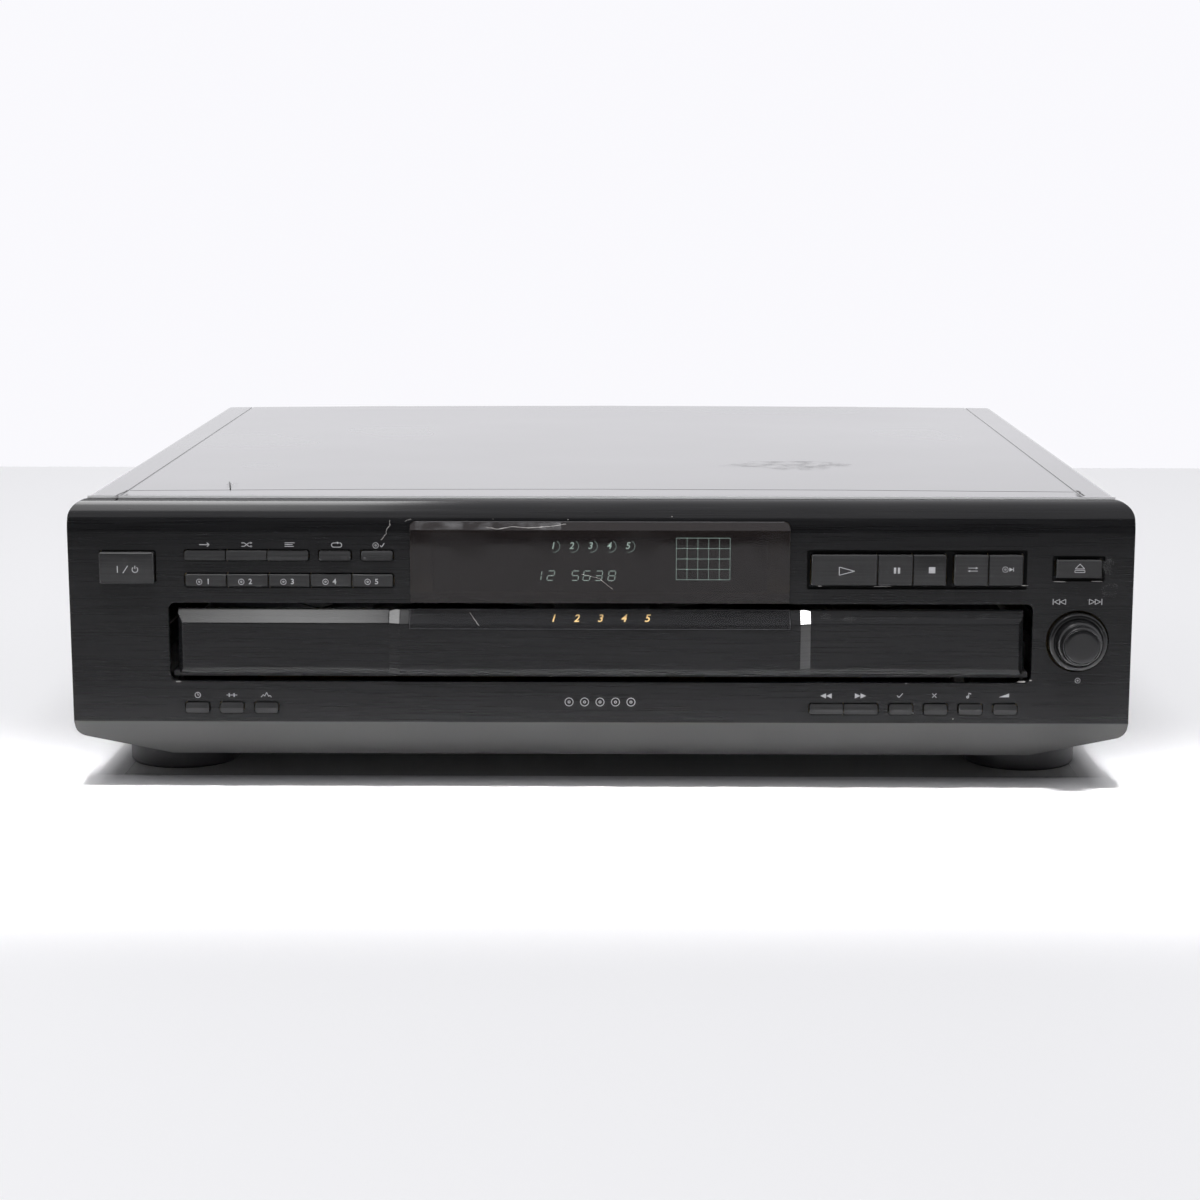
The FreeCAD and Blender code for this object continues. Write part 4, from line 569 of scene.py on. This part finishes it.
def plates(name, outlines, surface, made, body, proud=plate_proud, thickness=plate_thickness):
    """One piece of thin closed plates. Each outline is a list of points of the surface, in metres."""
    mesh = bpy.data.meshes.new(name)
    form = bmesh.new()
    for outline in outlines:
        near = [form.verts.new(surface.point(a, b, proud)) for a, b in outline]
        far = [form.verts.new(surface.point(a, b, proud - thickness)) for a, b in outline]
        form.faces.new(near)
        form.faces.new(list(reversed(far)))
        count = len(outline)
        for i in range(count):
            j = (i + 1) % count
            form.faces.new((near[j], near[i], far[i], far[j]))
    bmesh.ops.recalc_face_normals(form, faces=form.faces)
    form.to_mesh(mesh)
    form.free()
    mesh.materials.append(made)
    new_piece(name, mesh, body)


def film(name, outlines, surface, made, body, proud=film_proud):
    """Plates that stand hardly proud of the face."""
    plates(name, outlines, surface, made, body, proud, film_thickness)


def new_piece(name, data, body):
    piece = bpy.data.objects.new(name, data)
    bpy.context.scene.collection.objects.link(piece)
    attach(piece, body)
    return piece


def bar(x0, z0, x1, z1, width):
    """A straight stroke."""
    along = Vector((x1 - x0, z1 - z0)).normalized() * width / 2
    side = Vector((-along.y, along.x))
    start = Vector((x0, z0))
    end = Vector((x1, z1))
    return [tuple(p) for p in (start - side, end - side, end + side, start + side)]


def strokes(points, width=stroke, closed=False):
    if closed:
        points = list(points) + [points[0]]
    return [bar(*a, *b, width) for a, b in zip(points, points[1:])]


def arc(x, z, radius, first, last, width=stroke):
    """A ring's stretch from one angle to another, in degrees, as one outline."""
    angles = [math.radians(first + (last - first) * i / arc_steps) for i in range(arc_steps + 1)]
    inner = radius - width / 2
    outer = radius + width / 2
    outline = [(x + inner * math.cos(angle), z + inner * math.sin(angle)) for angle in angles]
    outline += [(x + outer * math.cos(angle), z + outer * math.sin(angle)) for angle in reversed(angles)]
    return [outline]


def ring(x, z, radius, width=stroke):
    return arc(x, z, radius, 0, 179.5, width) + arc(x, z, radius, 180, 359.5, width)


def oblong(x0, x1, z0, z1):
    return [(x0, z0), (x1, z0), (x1, z1), (x0, z1)]


def shifted(outlines, x):
    return [[(a + x, b) for a, b in outline] for outline in outlines]


def mirrored(outlines):
    return [[(-a, b) for a, b in outline] for outline in outlines]


def triangle(width, height):
    """Points of a triangle that points right."""
    return [(-width / 2, -height / 2), (width / 2, 0), (-width / 2, height / 2)]


def play_sign():
    return strokes(triangle(6.2, 3.3), 0.3, closed=True)


def pause_sign():
    return [oblong(-1.25, -0.35, -1.2, 1.2), oblong(0.35, 1.25, -1.2, 1.2)]


def stop_sign():
    return [oblong(-1.3, 1.3, -1.25, 1.25)]


def eject_sign():
    roof = strokes([(-1.9, 0.1), (1.9, 0.1), (0, 2.1)], 0.26, closed=True)
    return roof + strokes(oblong(-2.0, 2.0, -1.35, -0.55), 0.22, closed=True)


def skip_sign():
    head = strokes(triangle(2.2, 2.1), 0.26, closed=True)
    return shifted(head, -1.6) + shifted(head, 0.8) + [oblong(2.2, 2.5, -1.2, 1.2)]


def search_sign():
    return [[(x + dx, z) for x, z in triangle(2.3, 2.1)] for dx in (-1.15, 1.15)]


def power_sign():
    standby = arc(3.2, -0.1, 1.15, -235, 55, 0.3) + [oblong(3.05, 3.35, 0.2, 1.5)]
    return [oblong(-4.1, -3.75, -1.35, 1.35), bar(-1.7, -1.5, 0.3, 1.5, 0.3)] + standby


def arrow_sign():
    return strokes([(-2.2, 0), (1.8, 0)]) + strokes([(0.9, 0.8), (1.9, 0), (0.9, -0.8)])


def shuffle_sign():
    return (strokes([(-2.2, -0.7), (-1.0, -0.7), (0.8, 0.7), (2.0, 0.7)])
            + strokes([(-2.2, 0.7), (-1.0, 0.7), (0.8, -0.7), (2.0, -0.7)])
            + [[(1.5, 0.25), (2.3, 0.7), (1.5, 1.15)], [(1.5, -1.15), (2.3, -0.7), (1.5, -0.25)]])


def list_sign():
    return [oblong(-2.0, 2.0, 0.6, 0.85), oblong(-2.0, 1.2, -0.12, 0.13), oblong(-2.0, 1.7, -0.85, -0.6)]


def repeat_sign():
    ends = arc(-1.2, 0, 0.85, 90, 270) + arc(1.2, 0, 0.85, -90, 90)
    sides = [oblong(-1.2, 1.2, -0.98, -0.72), oblong(-1.2, 0.2, 0.72, 0.98)]
    return ends + sides + [[(0.2, 0.35), (1.1, 0.85), (0.2, 1.35)]]


def disc_sign():
    return ring(0, 0, 1.1, 0.2) + ring(0, 0, 0.3, 0.2)


def disc_check_sign():
    return shifted(disc_sign(), -1.3) + strokes([(0.5, 0.0), (1.1, -0.7), (2.2, 0.9)])


def exchange_sign():
    forward = strokes([(-1.9, 0.6), (1.4, 0.6)], 0.24) + [[(1.1, 0.15), (2.1, 0.6), (1.1, 1.05)]]
    return forward + [[(-x, -z) for x, z in outline] for outline in forward]


def disc_skip_sign():
    return shifted(disc_sign(), -1.2) + [[(0.4, -0.8), (1.9, 0), (0.4, 0.8)], oblong(1.95, 2.2, -0.8, 0.8)]


def clock_sign():
    return ring(0, 0, 1.1) + strokes([(0, 0.75), (0, 0), (0.6, 0)], 0.22)


def edit_sign():
    return [oblong(-2.2, 2.2, -0.12, 0.12), oblong(-1.3, -0.9, -0.8, 0.8), oblong(0.7, 1.1, -0.8, 0.8)]


def peak_sign():
    ridge = [(-2.1, -0.9), (-1.2, 0.2), (-0.6, -0.5), (0.2, 1.1), (1.0, -0.6), (1.5, -0.1), (2.1, -0.9)]
    return strokes(ridge, 0.24)


def tick_sign():
    return strokes([(-1.1, 0.0), (-0.3, -0.8), (1.2, 0.9)])


def cross_sign():
    return strokes([(-0.85, -0.85), (0.85, 0.85)]) + strokes([(-0.85, 0.85), (0.85, -0.85)])


def note_sign():
    flag = [(-0.3, 1.1), (0.8, 0.75), (0.8, 0.4), (-0.3, 0.75)]
    return ring(-0.6, -0.7, 0.38, 0.36) + [oblong(-0.3, -0.06, -0.7, 1.1), flag]


def fade_sign():
    return [[(-2.1, -0.7), (2.1, -0.7), (2.1, 0.85)]]


def push_sign():
    return ring(0, 0, 1.0, 0.24) + ring(0, 0, 0.2, 0.4)


def in_place(outlines, middle, scale=1.0):
    """Outlines in millimetres about their middle, as points of a face in metres."""
    placed = []
    for outline in outlines:
        placed.append([(middle.x + a * scale * mm, middle.y + b * scale * mm) for a, b in outline])
    return placed


def sign(name, outlines, u, v, surface, body, made, scale=1.0):
    """Lays a sign on a face, where the photograph has pixel (u, v)."""
    plates(name, in_place(outlines, surface.at_pixel(u, v), scale), surface, made, body)


def number(name, text, middle, surface, body, made, size, slant=0.0):
    """A plain number on a face, about the given point of it."""
    data = bpy.data.curves.new(name, "FONT")
    data.body = text
    data.align_x = "CENTER"
    data.align_y = "CENTER"
    data.size = size / font_height
    data.extrude = text_extrude
    data.offset = 0.02 * size
    data.shear = slant
    data.materials.append(made)
    piece = bpy.data.objects.new(name, data)
    bpy.context.scene.collection.objects.link(piece)
    turn = Matrix((surface.across, surface.up, surface.out)).transposed().to_4x4()
    piece.matrix_world = Matrix.Translation(surface.point(*middle, text_proud)) @ turn
    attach(piece, body)


# Signs on the keys and the panel

def key_front(key):
    return upright(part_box(key)[0].y)


def key_signs(ink):
    on_keys = {
        "power_key": (power_sign(), 127.0, 569.4),
        "play_key": (play_sign(), 847.0, 571.2),
        "pause_key": (pause_sign(), 897.0, 570.6),
        "stop_key": (stop_sign(), 932.1, 570.2),
        "exchange_key": (exchange_sign(), 973.0, 569.6),
        "disc_skip_key": (disc_skip_sign(), 1008.4, 569.6),
        "open_close_key": (eject_sign(), 1080.0, 569.2),
    }
    for key, (outlines, u, v) in on_keys.items():
        sign(key.replace("_key", "_sign"), outlines, u, v, key_front(key), key, ink)
    first_sign_u, first_number_u, v = 199.2, 208.2, 581.8
    step = 42.1
    for i in range(disc_count):
        key = f"disc_{i + 1}_key"
        front = key_front(key)
        sign(f"disc_{i + 1}_sign", disc_sign(), first_sign_u + step * i, v, front, key, ink)
        middle = front.at_pixel(first_number_u + step * i, v)
        number(f"disc_{i + 1}_number", str(i + 1), middle, front, key, ink, 2.2 * mm)


def panel_signs(ink):
    on_panel = {
        "continue_sign": (arrow_sign(), 204.6, 544.6),
        "shuffle_sign": (shuffle_sign(), 246.8, 544.6),
        "program_sign": (list_sign(), 289.6, 544.6),
        "repeat_sign": (repeat_sign(), 336.6, 545.0),
        "disc_check_sign": (disc_check_sign(), 378.8, 545.4),
        "time_sign": (clock_sign(), 197.8, 695.0),
        "edit_sign": (edit_sign(), 231.9, 695.0),
        "peak_sign": (peak_sign(), 266.2, 695.0),
        "rewind_sign": (mirrored(search_sign()), 826.0, 695.9),
        "forward_sign": (search_sign(), 860.5, 695.9),
        "check_sign": (tick_sign(), 899.8, 695.6),
        "clear_sign": (cross_sign(), 934.3, 695.6),
        "scan_sign": (note_sign(), 969.2, 695.4),
        "fade_sign": (fade_sign(), 1003.9, 695.6),
        "skip_back_sign": (mirrored(skip_sign()), 1059.0, 601.9),
        "skip_on_sign": (skip_sign(), 1096.0, 601.9),
        "push_sign": (push_sign(), 1077.6, 680.6),
    }
    front = upright(panel_face)
    for name, (outlines, u, v) in on_panel.items():
        sign(name, outlines, u, v, front, "root", ink)
    middle_u, v = 600.0, 702.0
    discs = []
    for i in range(disc_count):
        discs += shifted(disc_sign(), 4.2 * (i - 2))
    sign("five_discs_sign", discs, middle_u, v, front, "root", ink, 1.5)


# Display

segment_lines = {
    "a": (0, 2, 1, 2), "b": (1, 1, 1, 2), "c": (1, 0, 1, 1), "d": (0, 0, 1, 0),
    "e": (0, 0, 0, 1), "f": (0, 1, 0, 2), "g": (0, 1, 1, 1),
}
digit_segments = {"1": "bc", "2": "abged", "3": "abgcd", "5": "afgcd", "6": "afgcde", "8": "abcdefg"}


def segment_digit(digit, x, width, height, slant):
    """Seven-segment outlines, with the digit's foot at x."""
    outlines = []
    for segment in digit_segments[digit]:
        x0, z0, x1, z1 = segment_lines[segment]
        start = Vector((x0 * width, (z0 - 1) * height / 2))
        end = Vector((x1 * width, (z1 - 1) * height / 2))
        gap = (end - start).normalized() * 0.22
        start += gap
        end -= gap
        outlines.append(bar(x + start.x + slant * start.y, start.y, x + end.x + slant * end.y, end.y, 0.3))
    return outlines


def display_digits(front, bright):
    v = 575.6
    digits_u = ((534.7, "1"), (547.5, "2"), (572.0, "5"), (583.5, "6"), (595.5, "3"), (608.5, "8"))
    first_u = digits_u[0][0]
    left = front.at_pixel(first_u, v)
    outlines = []
    for u, digit in digits_u:
        x = (front.at_pixel(u, v).x - left.x) / mm
        outlines += segment_digit(digit, x, 2.7, 3.9, 0.16)
    sign("display_digits", outlines, first_u, v, front, "root", bright)


def display_discs(front, bright, dim):
    """A plain number with an arc beside it for each well."""
    first_u, number_v, arc_v = 552.7, 546.0, 546.3
    step = 18.75
    for i in range(disc_count):
        u = first_u + step * i
        middle = front.at_pixel(u, number_v)
        number(f"display_number_{i + 1}", str(i + 1), middle, front, "root", bright, 2.8 * mm, 0.2)
        sign(f"display_disc_{i + 1}", arc(0.5, 0, 2.4, -105, 58, 0.24), u, arc_v, front, "root", dim)


def display_grid(front, dim):
    low_pixel = (676.2, 579.7)
    high_pixel = (730.3, 538.2)
    low = front.at_pixel(*low_pixel)
    high = front.at_pixel(*high_pixel)
    half_x = (high.x - low.x) / 2 / mm
    half_z = (high.y - low.y) / 2 / mm
    half_upright = 0.13
    half_level = 0.16
    lines = []
    for i in range(grid_columns + 1):
        x = half_x * (2 * i / grid_columns - 1)
        lines.append(oblong(x - half_upright, x + half_upright, -half_z, half_z))
    for i in range(grid_rows + 1):
        z = half_z * (2 * i / grid_rows - 1)
        lines.append(oblong(-half_x, half_x, z - half_level, z + half_level))
    plates("display_grid", in_place(lines, (low + high) / 2), front, dim, "root")


def display_marks(bright, dim):
    front = upright(tube_face)
    display_digits(front, bright)
    display_discs(front, bright, dim)
    display_grid(front, dim)


# Lens strip and drawer front

def strip_marks(gold):
    face = strip_face()
    first_u, v = 553.0, 618.6
    step = 23.5
    for i in range(disc_count):
        middle = face.at_pixel(first_u + step * i, v)
        number(f"strip_number_{i + 1}", str(i + 1), middle, face, "tray", gold, 3.2 * mm, 0.25)


def edge_uprights(low, high, bottom, top):
    """Lines along the left and right edge of a box's face."""
    return [oblong(low.x, low.x + edge_line, bottom, top), oblong(high.x - edge_line, high.x, bottom, top)]


def window_bevel_height():
    return (window_high.z - window_bevel_z) / math.cos(window_bevel_lean)


def edge_highlight_paint(shine):
    """Painted highlights: thin pale lines on the strip's and the window's edges, where these catch the
    light.
    """
    low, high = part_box("tray_front_lens")
    top = (high.z - top_bevel_z) / math.cos(top_bevel_lean)
    outlines = [oblong(low.x, high.x, top - edge_line, top)] + edge_uprights(low, high, 0, top)
    film("strip_edge_highlights", outlines, strip_face(), shine, "tray")
    outlines = [oblong(low.x, high.x, low.z, low.z + edge_line)]
    outlines += edge_uprights(low, high, low.z, top_bevel_z)
    film("strip_edge_highlights_low", outlines, upright(low.y), shine, "tray")
    top = window_bevel_height()
    outline = oblong(window_low.x + window_corner, window_high.x - window_corner, top - edge_line, top)
    film("window_edge_highlight", [outline], window_bevel(), shine, "root")


def window_scuffs(hazy):
    end_pixel = (561, 526)
    edge = 0.4 * mm
    right = window_bevel().at_pixel(*end_pixel).x
    outline = oblong(window_low.x + window_corner, right, edge, window_bevel_height() - edge)
    film("window_scuffs", [outline], window_bevel(), hazy, "root", haze_proud)


def frame_around(inner, outer):
    """Four oblongs that fill the space between two boxes, each as (left, right, low, high)."""
    left, right, low, high = inner
    far_left, far_right, far_low, far_high = outer
    return [oblong(far_left, far_right, far_low, low), oblong(far_left, far_right, high, far_high),
            oblong(far_left, left, low, high), oblong(right, far_right, low, high)]


def grown(box, margin):
    left, right, low, high = box
    return left - margin, right + margin, low - margin, high + margin


def keys_outline(first, last):
    """The visible outline of a row of keys, without their flanges."""
    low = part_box(first)[0]
    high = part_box(last)[1]
    return low.x, high.x, low.z + key_flange, high.z - key_flange


def recess_shade_paint(dark):
    """Painted shade on the floors of the shallow recesses round the play keys and the open and close key.
    """
    play = keys_outline("play_key", "stop_key")
    pair = keys_outline("exchange_key", "disc_skip_key")
    opener = keys_outline("open_close_key", "open_close_key")
    row = (play[0], pair[1], play[2], play[3])
    outlines = []
    for box, margin in ((row, play_recess_margin), (opener, opener_recess_margin)):
        outlines += frame_around(grown(box, key_gap), grown(box, margin))
    outlines.append(oblong(play[1] + key_gap, pair[0] - key_gap, play[2] - key_gap, play[3] + key_gap))
    plates("recess_shade_plates", outlines, upright(panel_face + key_recess), dark, "root")


def flank_highlight_paint(brushed):
    """The right flank of the drawer front's middle: brushed grain, painted bright as a highlight."""
    face = Surface((bulge_half, drawer_face - bulge_proud, 0), across=(bulge_flank, bulge_proud, 0))
    reach = math.hypot(bulge_flank, bulge_proud)
    edge = 0.25 * mm
    outline = oblong(edge, reach - edge, low_bevel_z + edge, top_bevel_z - edge)
    plates("flank_painted_highlight", [outline], face, brushed, "tray", film_proud)


# Wear, at pixels (u, v) of the photograph. Chips and smudges also have a width and a height in millimetres

scratch_paths = {
    "panel_scratch": [(390, 520), (389.5, 526), (386.5, 529), (386, 534), (381, 540)],
    "panel_scratch_low": [(405, 521), (411, 519)],
    "window_scratch": [(582, 574.4), (590, 576), (599.6, 578.4), (606, 584), (612.4, 589)],
    "window_scuff": [(486, 527.2), (497, 529), (512, 526.8), (530, 528.2), (549, 526.4), (566, 524)],
    "strip_scratch": [(470.2, 612.6), (474, 619), (479, 625.6)],
    "seam_left": [(128, 490.5), (114.5, 496.3)],
    "seam_right": [(1077, 490.5), (1084, 495.8)],
    "cover_nick": [(229.6, 482), (230.6, 487.5)],
}
panel_chips = [
    (178.5, 681.5, 3.4, 0.8), (1022, 681.8, 4.6, 0.9), (1030.5, 680.4, 1.4, 0.8), (913, 713, 0.7, 0.5),
    (953, 719, 0.6, 0.5), (820, 586.2, 2.4, 0.35), (882, 586.4, 8.0, 0.3), (1022, 585.6, 6.0, 0.4),
    (1060, 581.7, 6.5, 0.4), (1097, 581.4, 6.5, 0.4), (568, 519.6, 0.5, 0.5), (906, 683.6, 0.8, 0.6),
    (672, 516.6, 0.6, 0.6), (493, 519, 0.35, 0.35), (117, 576, 0.4, 0.3), (1088, 600, 0.3, 0.3),
]
panel_smudges = [(1110, 566, 7, 10), (1110, 592, 9, 9), (116, 572, 5, 6)]
bevel_smudges = [(828, 617, 10, 3.6), (851, 619, 9, 3.8), (905, 617, 16, 3), (982, 617, 20, 3)]
cover_smudges = [(790, 464.5, 72, 42), (232, 484, 6, 10)]
ragged_pixels = 0.35
chip_corners = 11
scratch_steps = 6


def ragged(value):
    return value + wear.uniform(-ragged_pixels, ragged_pixels)


def scratch(name, surface, made, body, width):
    """A thin ragged line along a path, its width in millimetres."""
    path = scratch_paths[name]
    points = []
    for (u0, v0), (u1, v1) in zip(path, path[1:]):
        for i in range(scratch_steps):
            t = i / scratch_steps
            points.append((ragged(u0 + (u1 - u0) * t), ragged(v0 + (v1 - v0) * t)))
    points.append(path[-1])
    places = [surface.at_pixel(u, v) for u, v in points]
    outlines = []
    for a, b in zip(places, places[1:]):
        if (b - a).length > 0:
            outlines.append(bar(*a, *b, width * mm * wear.uniform(0.4, 1.0)))
    film(name, outlines, surface, made, body, scratch_proud)


def chips(spots, surface):
    return [chip(u, v, surface, width, height) for u, v, width, height in spots]


def chip(u, v, surface, width, height):
    """A ragged outline round a pixel."""
    middle = surface.at_pixel(u, v)
    outline = []
    for i in range(chip_corners):
        angle = 2 * math.pi * i / chip_corners
        reach = wear.uniform(0.55, 1.0)
        outline.append((middle.x + math.cos(angle) * reach * width / 2 * mm,
                        middle.y + math.sin(angle) * reach * height / 2 * mm))
    return outline


def panel_wear(pale):
    front = upright(panel_face)
    plates("panel_chips", chips(panel_chips, front), front, pale, "root")
    scratch("panel_scratch", front, pale, "root", 0.22)
    scratch("panel_scratch_low", front, pale, "root", 0.2)


def window_wear(pale):
    scratch("window_scratch", upright(window_low.y), pale, "root", 0.22)
    scratch("window_scuff", window_bevel(), pale, "root", 0.3)
    scratch("strip_scratch", strip_face(), pale, "tray", 0.24)


def smudges(hazy, cover_hazy):
    front = upright(panel_face)
    film("panel_smudges", chips(panel_smudges, front), front, hazy, "root")
    bevel = leaning(drawer_face, top_bevel_z, top_bevel_lean)
    film("bevel_smudges", chips(bevel_smudges, bevel), bevel, hazy, "tray")
    top = facing_up(0, cover_top)
    film("cover_smudges", chips(cover_smudges, top), top, cover_hazy, "root", haze_proud)


def cover_seams(dark):
    top = facing_up(0, cover_top)
    scratch("seam_left", top, dark, "root", 1.0)
    scratch("seam_right", top, dark, "root", 1.4)
    scratch("cover_nick", top, dark, "root", 0.9)


def cover_edge_highlight(highlight):
    """The cut front edge of the cover's sheet, where it shows over the panel, painted pale as the
    highlight it catches.
    """
    low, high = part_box("top_cover")
    inset = cover_edge_inset
    outline = oblong(low.x + inset, high.x - inset, panel_top, cover_top - 0.05 * mm)
    film("cover_edge_highlight", [outline], upright(low.y), highlight, "root")


# Screws, jacks and the rotary table

def crosses(places):
    """Dark crosses painted as the shade in the cross slots of screw heads, at (across, up) of a face."""
    reach = 1.3
    half = 0.3
    cross = [oblong(-reach, reach, -half, half), oblong(-half, half, -reach, reach)]
    outlines = []
    for place in places:
        outlines += in_place(cross, Vector(place))
    return outlines


def screw_crosses(dark):
    # Painted shade: dark crosses in the screw heads' slots.
    for side, name in ((-1, "screw_crosses_left"), (1, "screw_crosses_right")):
        face = Surface((side * screws_high.x, 0, 0), across=(0, side, 0))
        film(name, crosses([(side * y, screw_z) for y in screw_sides_y]), face, dark, "root")
    rear = facing_back(rear_face + screw_head)
    plates("screw_crosses_rear", crosses([(-x, screw_z) for x in screw_rear_x]), rear, dark, "root")
    tab = facing_back(screws_high.y)
    film("screw_crosses_cover", crosses([(-x, screw_cover_z) for x in screw_cover_x]), tab, dark, "root")


def jack_rings(red, white):
    rear = facing_back(rear_face + jack_flange)
    for x, name, paint in zip(jack_spots, ("jack_ring_red", "jack_ring_white"), (red, white)):
        outlines = in_place(ring(0, 0, 5.0, 1.2), Vector((-x, jack_z)))
        plates(name, outlines, rear, paint, "root", 0.3 * mm, 0.4 * mm)


def well_numbers(paint):
    """A plain number on the table's rim by each well."""
    top = facing_up(table_y, table_top)
    for i in range(well_count):
        angle = math.radians(90 + 360 / well_count * (i + 0.5))
        middle = Vector((math.cos(angle), math.sin(angle))) * (table_radius - table_rim)
        number(f"well_number_{i + 1}", str(i + 1), middle, top, "carousel", paint, 9 * mm)


# Knob

def lathe(name, profile, origin, body, made):
    """Turns (radius, y) points, in metres, round the Y axis through the origin."""
    mesh = bpy.data.meshes.new(name)
    form = bmesh.new()
    rings = []
    for radius, y in profile:
        if radius < 1e-9:
            rings.append([form.verts.new((origin.x, y, origin.z))])
            continue
        turn = []
        for i in range(lathe_steps):
            angle = 2 * math.pi * i / lathe_steps
            x = origin.x + radius * math.cos(angle)
            turn.append(form.verts.new((x, y, origin.z + radius * math.sin(angle))))
        rings.append(turn)
    for first, second in zip(rings, rings[1:]):
        for i in range(lathe_steps):
            j = (i + 1) % lathe_steps
            if len(first) == 1:
                form.faces.new((first[0], second[i], second[j]))
            elif len(second) == 1:
                form.faces.new((first[i], first[j], second[0]))
            else:
                form.faces.new((first[i], first[j], second[j], second[i]))
    bmesh.ops.recalc_face_normals(form, faces=form.faces)
    for face in form.faces:
        face.smooth = True
    form.to_mesh(mesh)
    form.free()
    mesh.materials.append(made)
    return new_piece(name, mesh, body)


def rounded_profile(corners):
    """Replaces each inner corner (radius, y, rounding) of a profile by a small curve."""
    points = []
    for i, (radius, y, size) in enumerate(corners):
        here = Vector((radius, y))
        if size == 0 or i == 0 or i == len(corners) - 1:
            points.append(tuple(here))
            continue
        before = Vector(corners[i - 1][:2])
        after = Vector(corners[i + 1][:2])
        start = here + (before - here).normalized() * size
        end = here + (after - here).normalized() * size
        for k in range(corner_steps + 1):
            t = k / corner_steps
            points.append(tuple(start * (1 - t) ** 2 + here * (2 * t * (1 - t)) + end * t ** 2))
    return points


def make_knob(made):
    """The knob with rounded edges, from its shaft over the skirt, the groove and the cap to its tip."""
    low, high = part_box("jog_knob")
    middle = Vector(((low.x + high.x) / 2, 0, (low.z + high.z) / 2))
    radius = (high.x - low.x) / 2
    tip = low.y
    back = panel_face + 8 * mm
    shaft = 3 * mm
    skirt = tip + 8.9 * mm
    corners = [
        (0, high.y, 0), (shaft, high.y, 0), (shaft, back, 0), (radius, back, 0), (radius, skirt, 0.9 * mm),
        (radius - 1.7 * mm, tip + 8.5 * mm, 0.6 * mm), (radius - 2.5 * mm, skirt, 0.2 * mm),
        (radius - 2.7 * mm, tip + 7.0 * mm, 0.3 * mm), (9.15 * mm, tip + 5.2 * mm, 0.9 * mm),
        (8.1 * mm, tip + 4.4 * mm, 0.3 * mm), (7.9 * mm, tip + 0.6 * mm, 1.1 * mm),
        (6.3 * mm, tip, 1.2 * mm), (0, tip + 0.15 * mm, 0),
    ]
    knob = lathe("knob_turned", rounded_profile(corners), middle, "knob", made)
    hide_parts("jog_knob")


def main():
    materials = make_materials()
    make_camera()
    make_world()
    make_stage()
    dress_nodes(materials)
    for name in nodes:
        if name.endswith("_key"):
            round_edges(name, 0.25 * mm)
    round_edges("display_window", 0.4 * mm)
    round_edges("tray_front_lens", 0.3 * mm)
    round_edges("tray_front", 0.2 * mm, 12)
    key_signs(materials["ink"])
    panel_signs(materials["ink"])
    display_marks(materials["display_glow"], materials["display_dim"])
    strip_marks(materials["gold_ink"])
    flank_highlight_paint(materials["flank_brushed_highlight"])
    recess_shade_paint(materials["recess_painted_shade"])
    edge_highlight_paint(materials["edge_painted_highlight"])
    cover_edge_highlight(materials["cover_edge_painted_highlight"])
    window_scuffs(materials["window_haze"])
    panel_wear(materials["pale_wear"])
    window_wear(materials["pale_wear"])
    smudges(materials["smudge"], materials["cover_smudge"])
    cover_seams(materials["seam_dark"])
    screw_crosses(materials["seam_dark"])
    jack_rings(materials["jack_red"], materials["jack_white"])
    well_numbers(materials["table_ink"])
    make_knob(materials["knob_plastic"])


main()
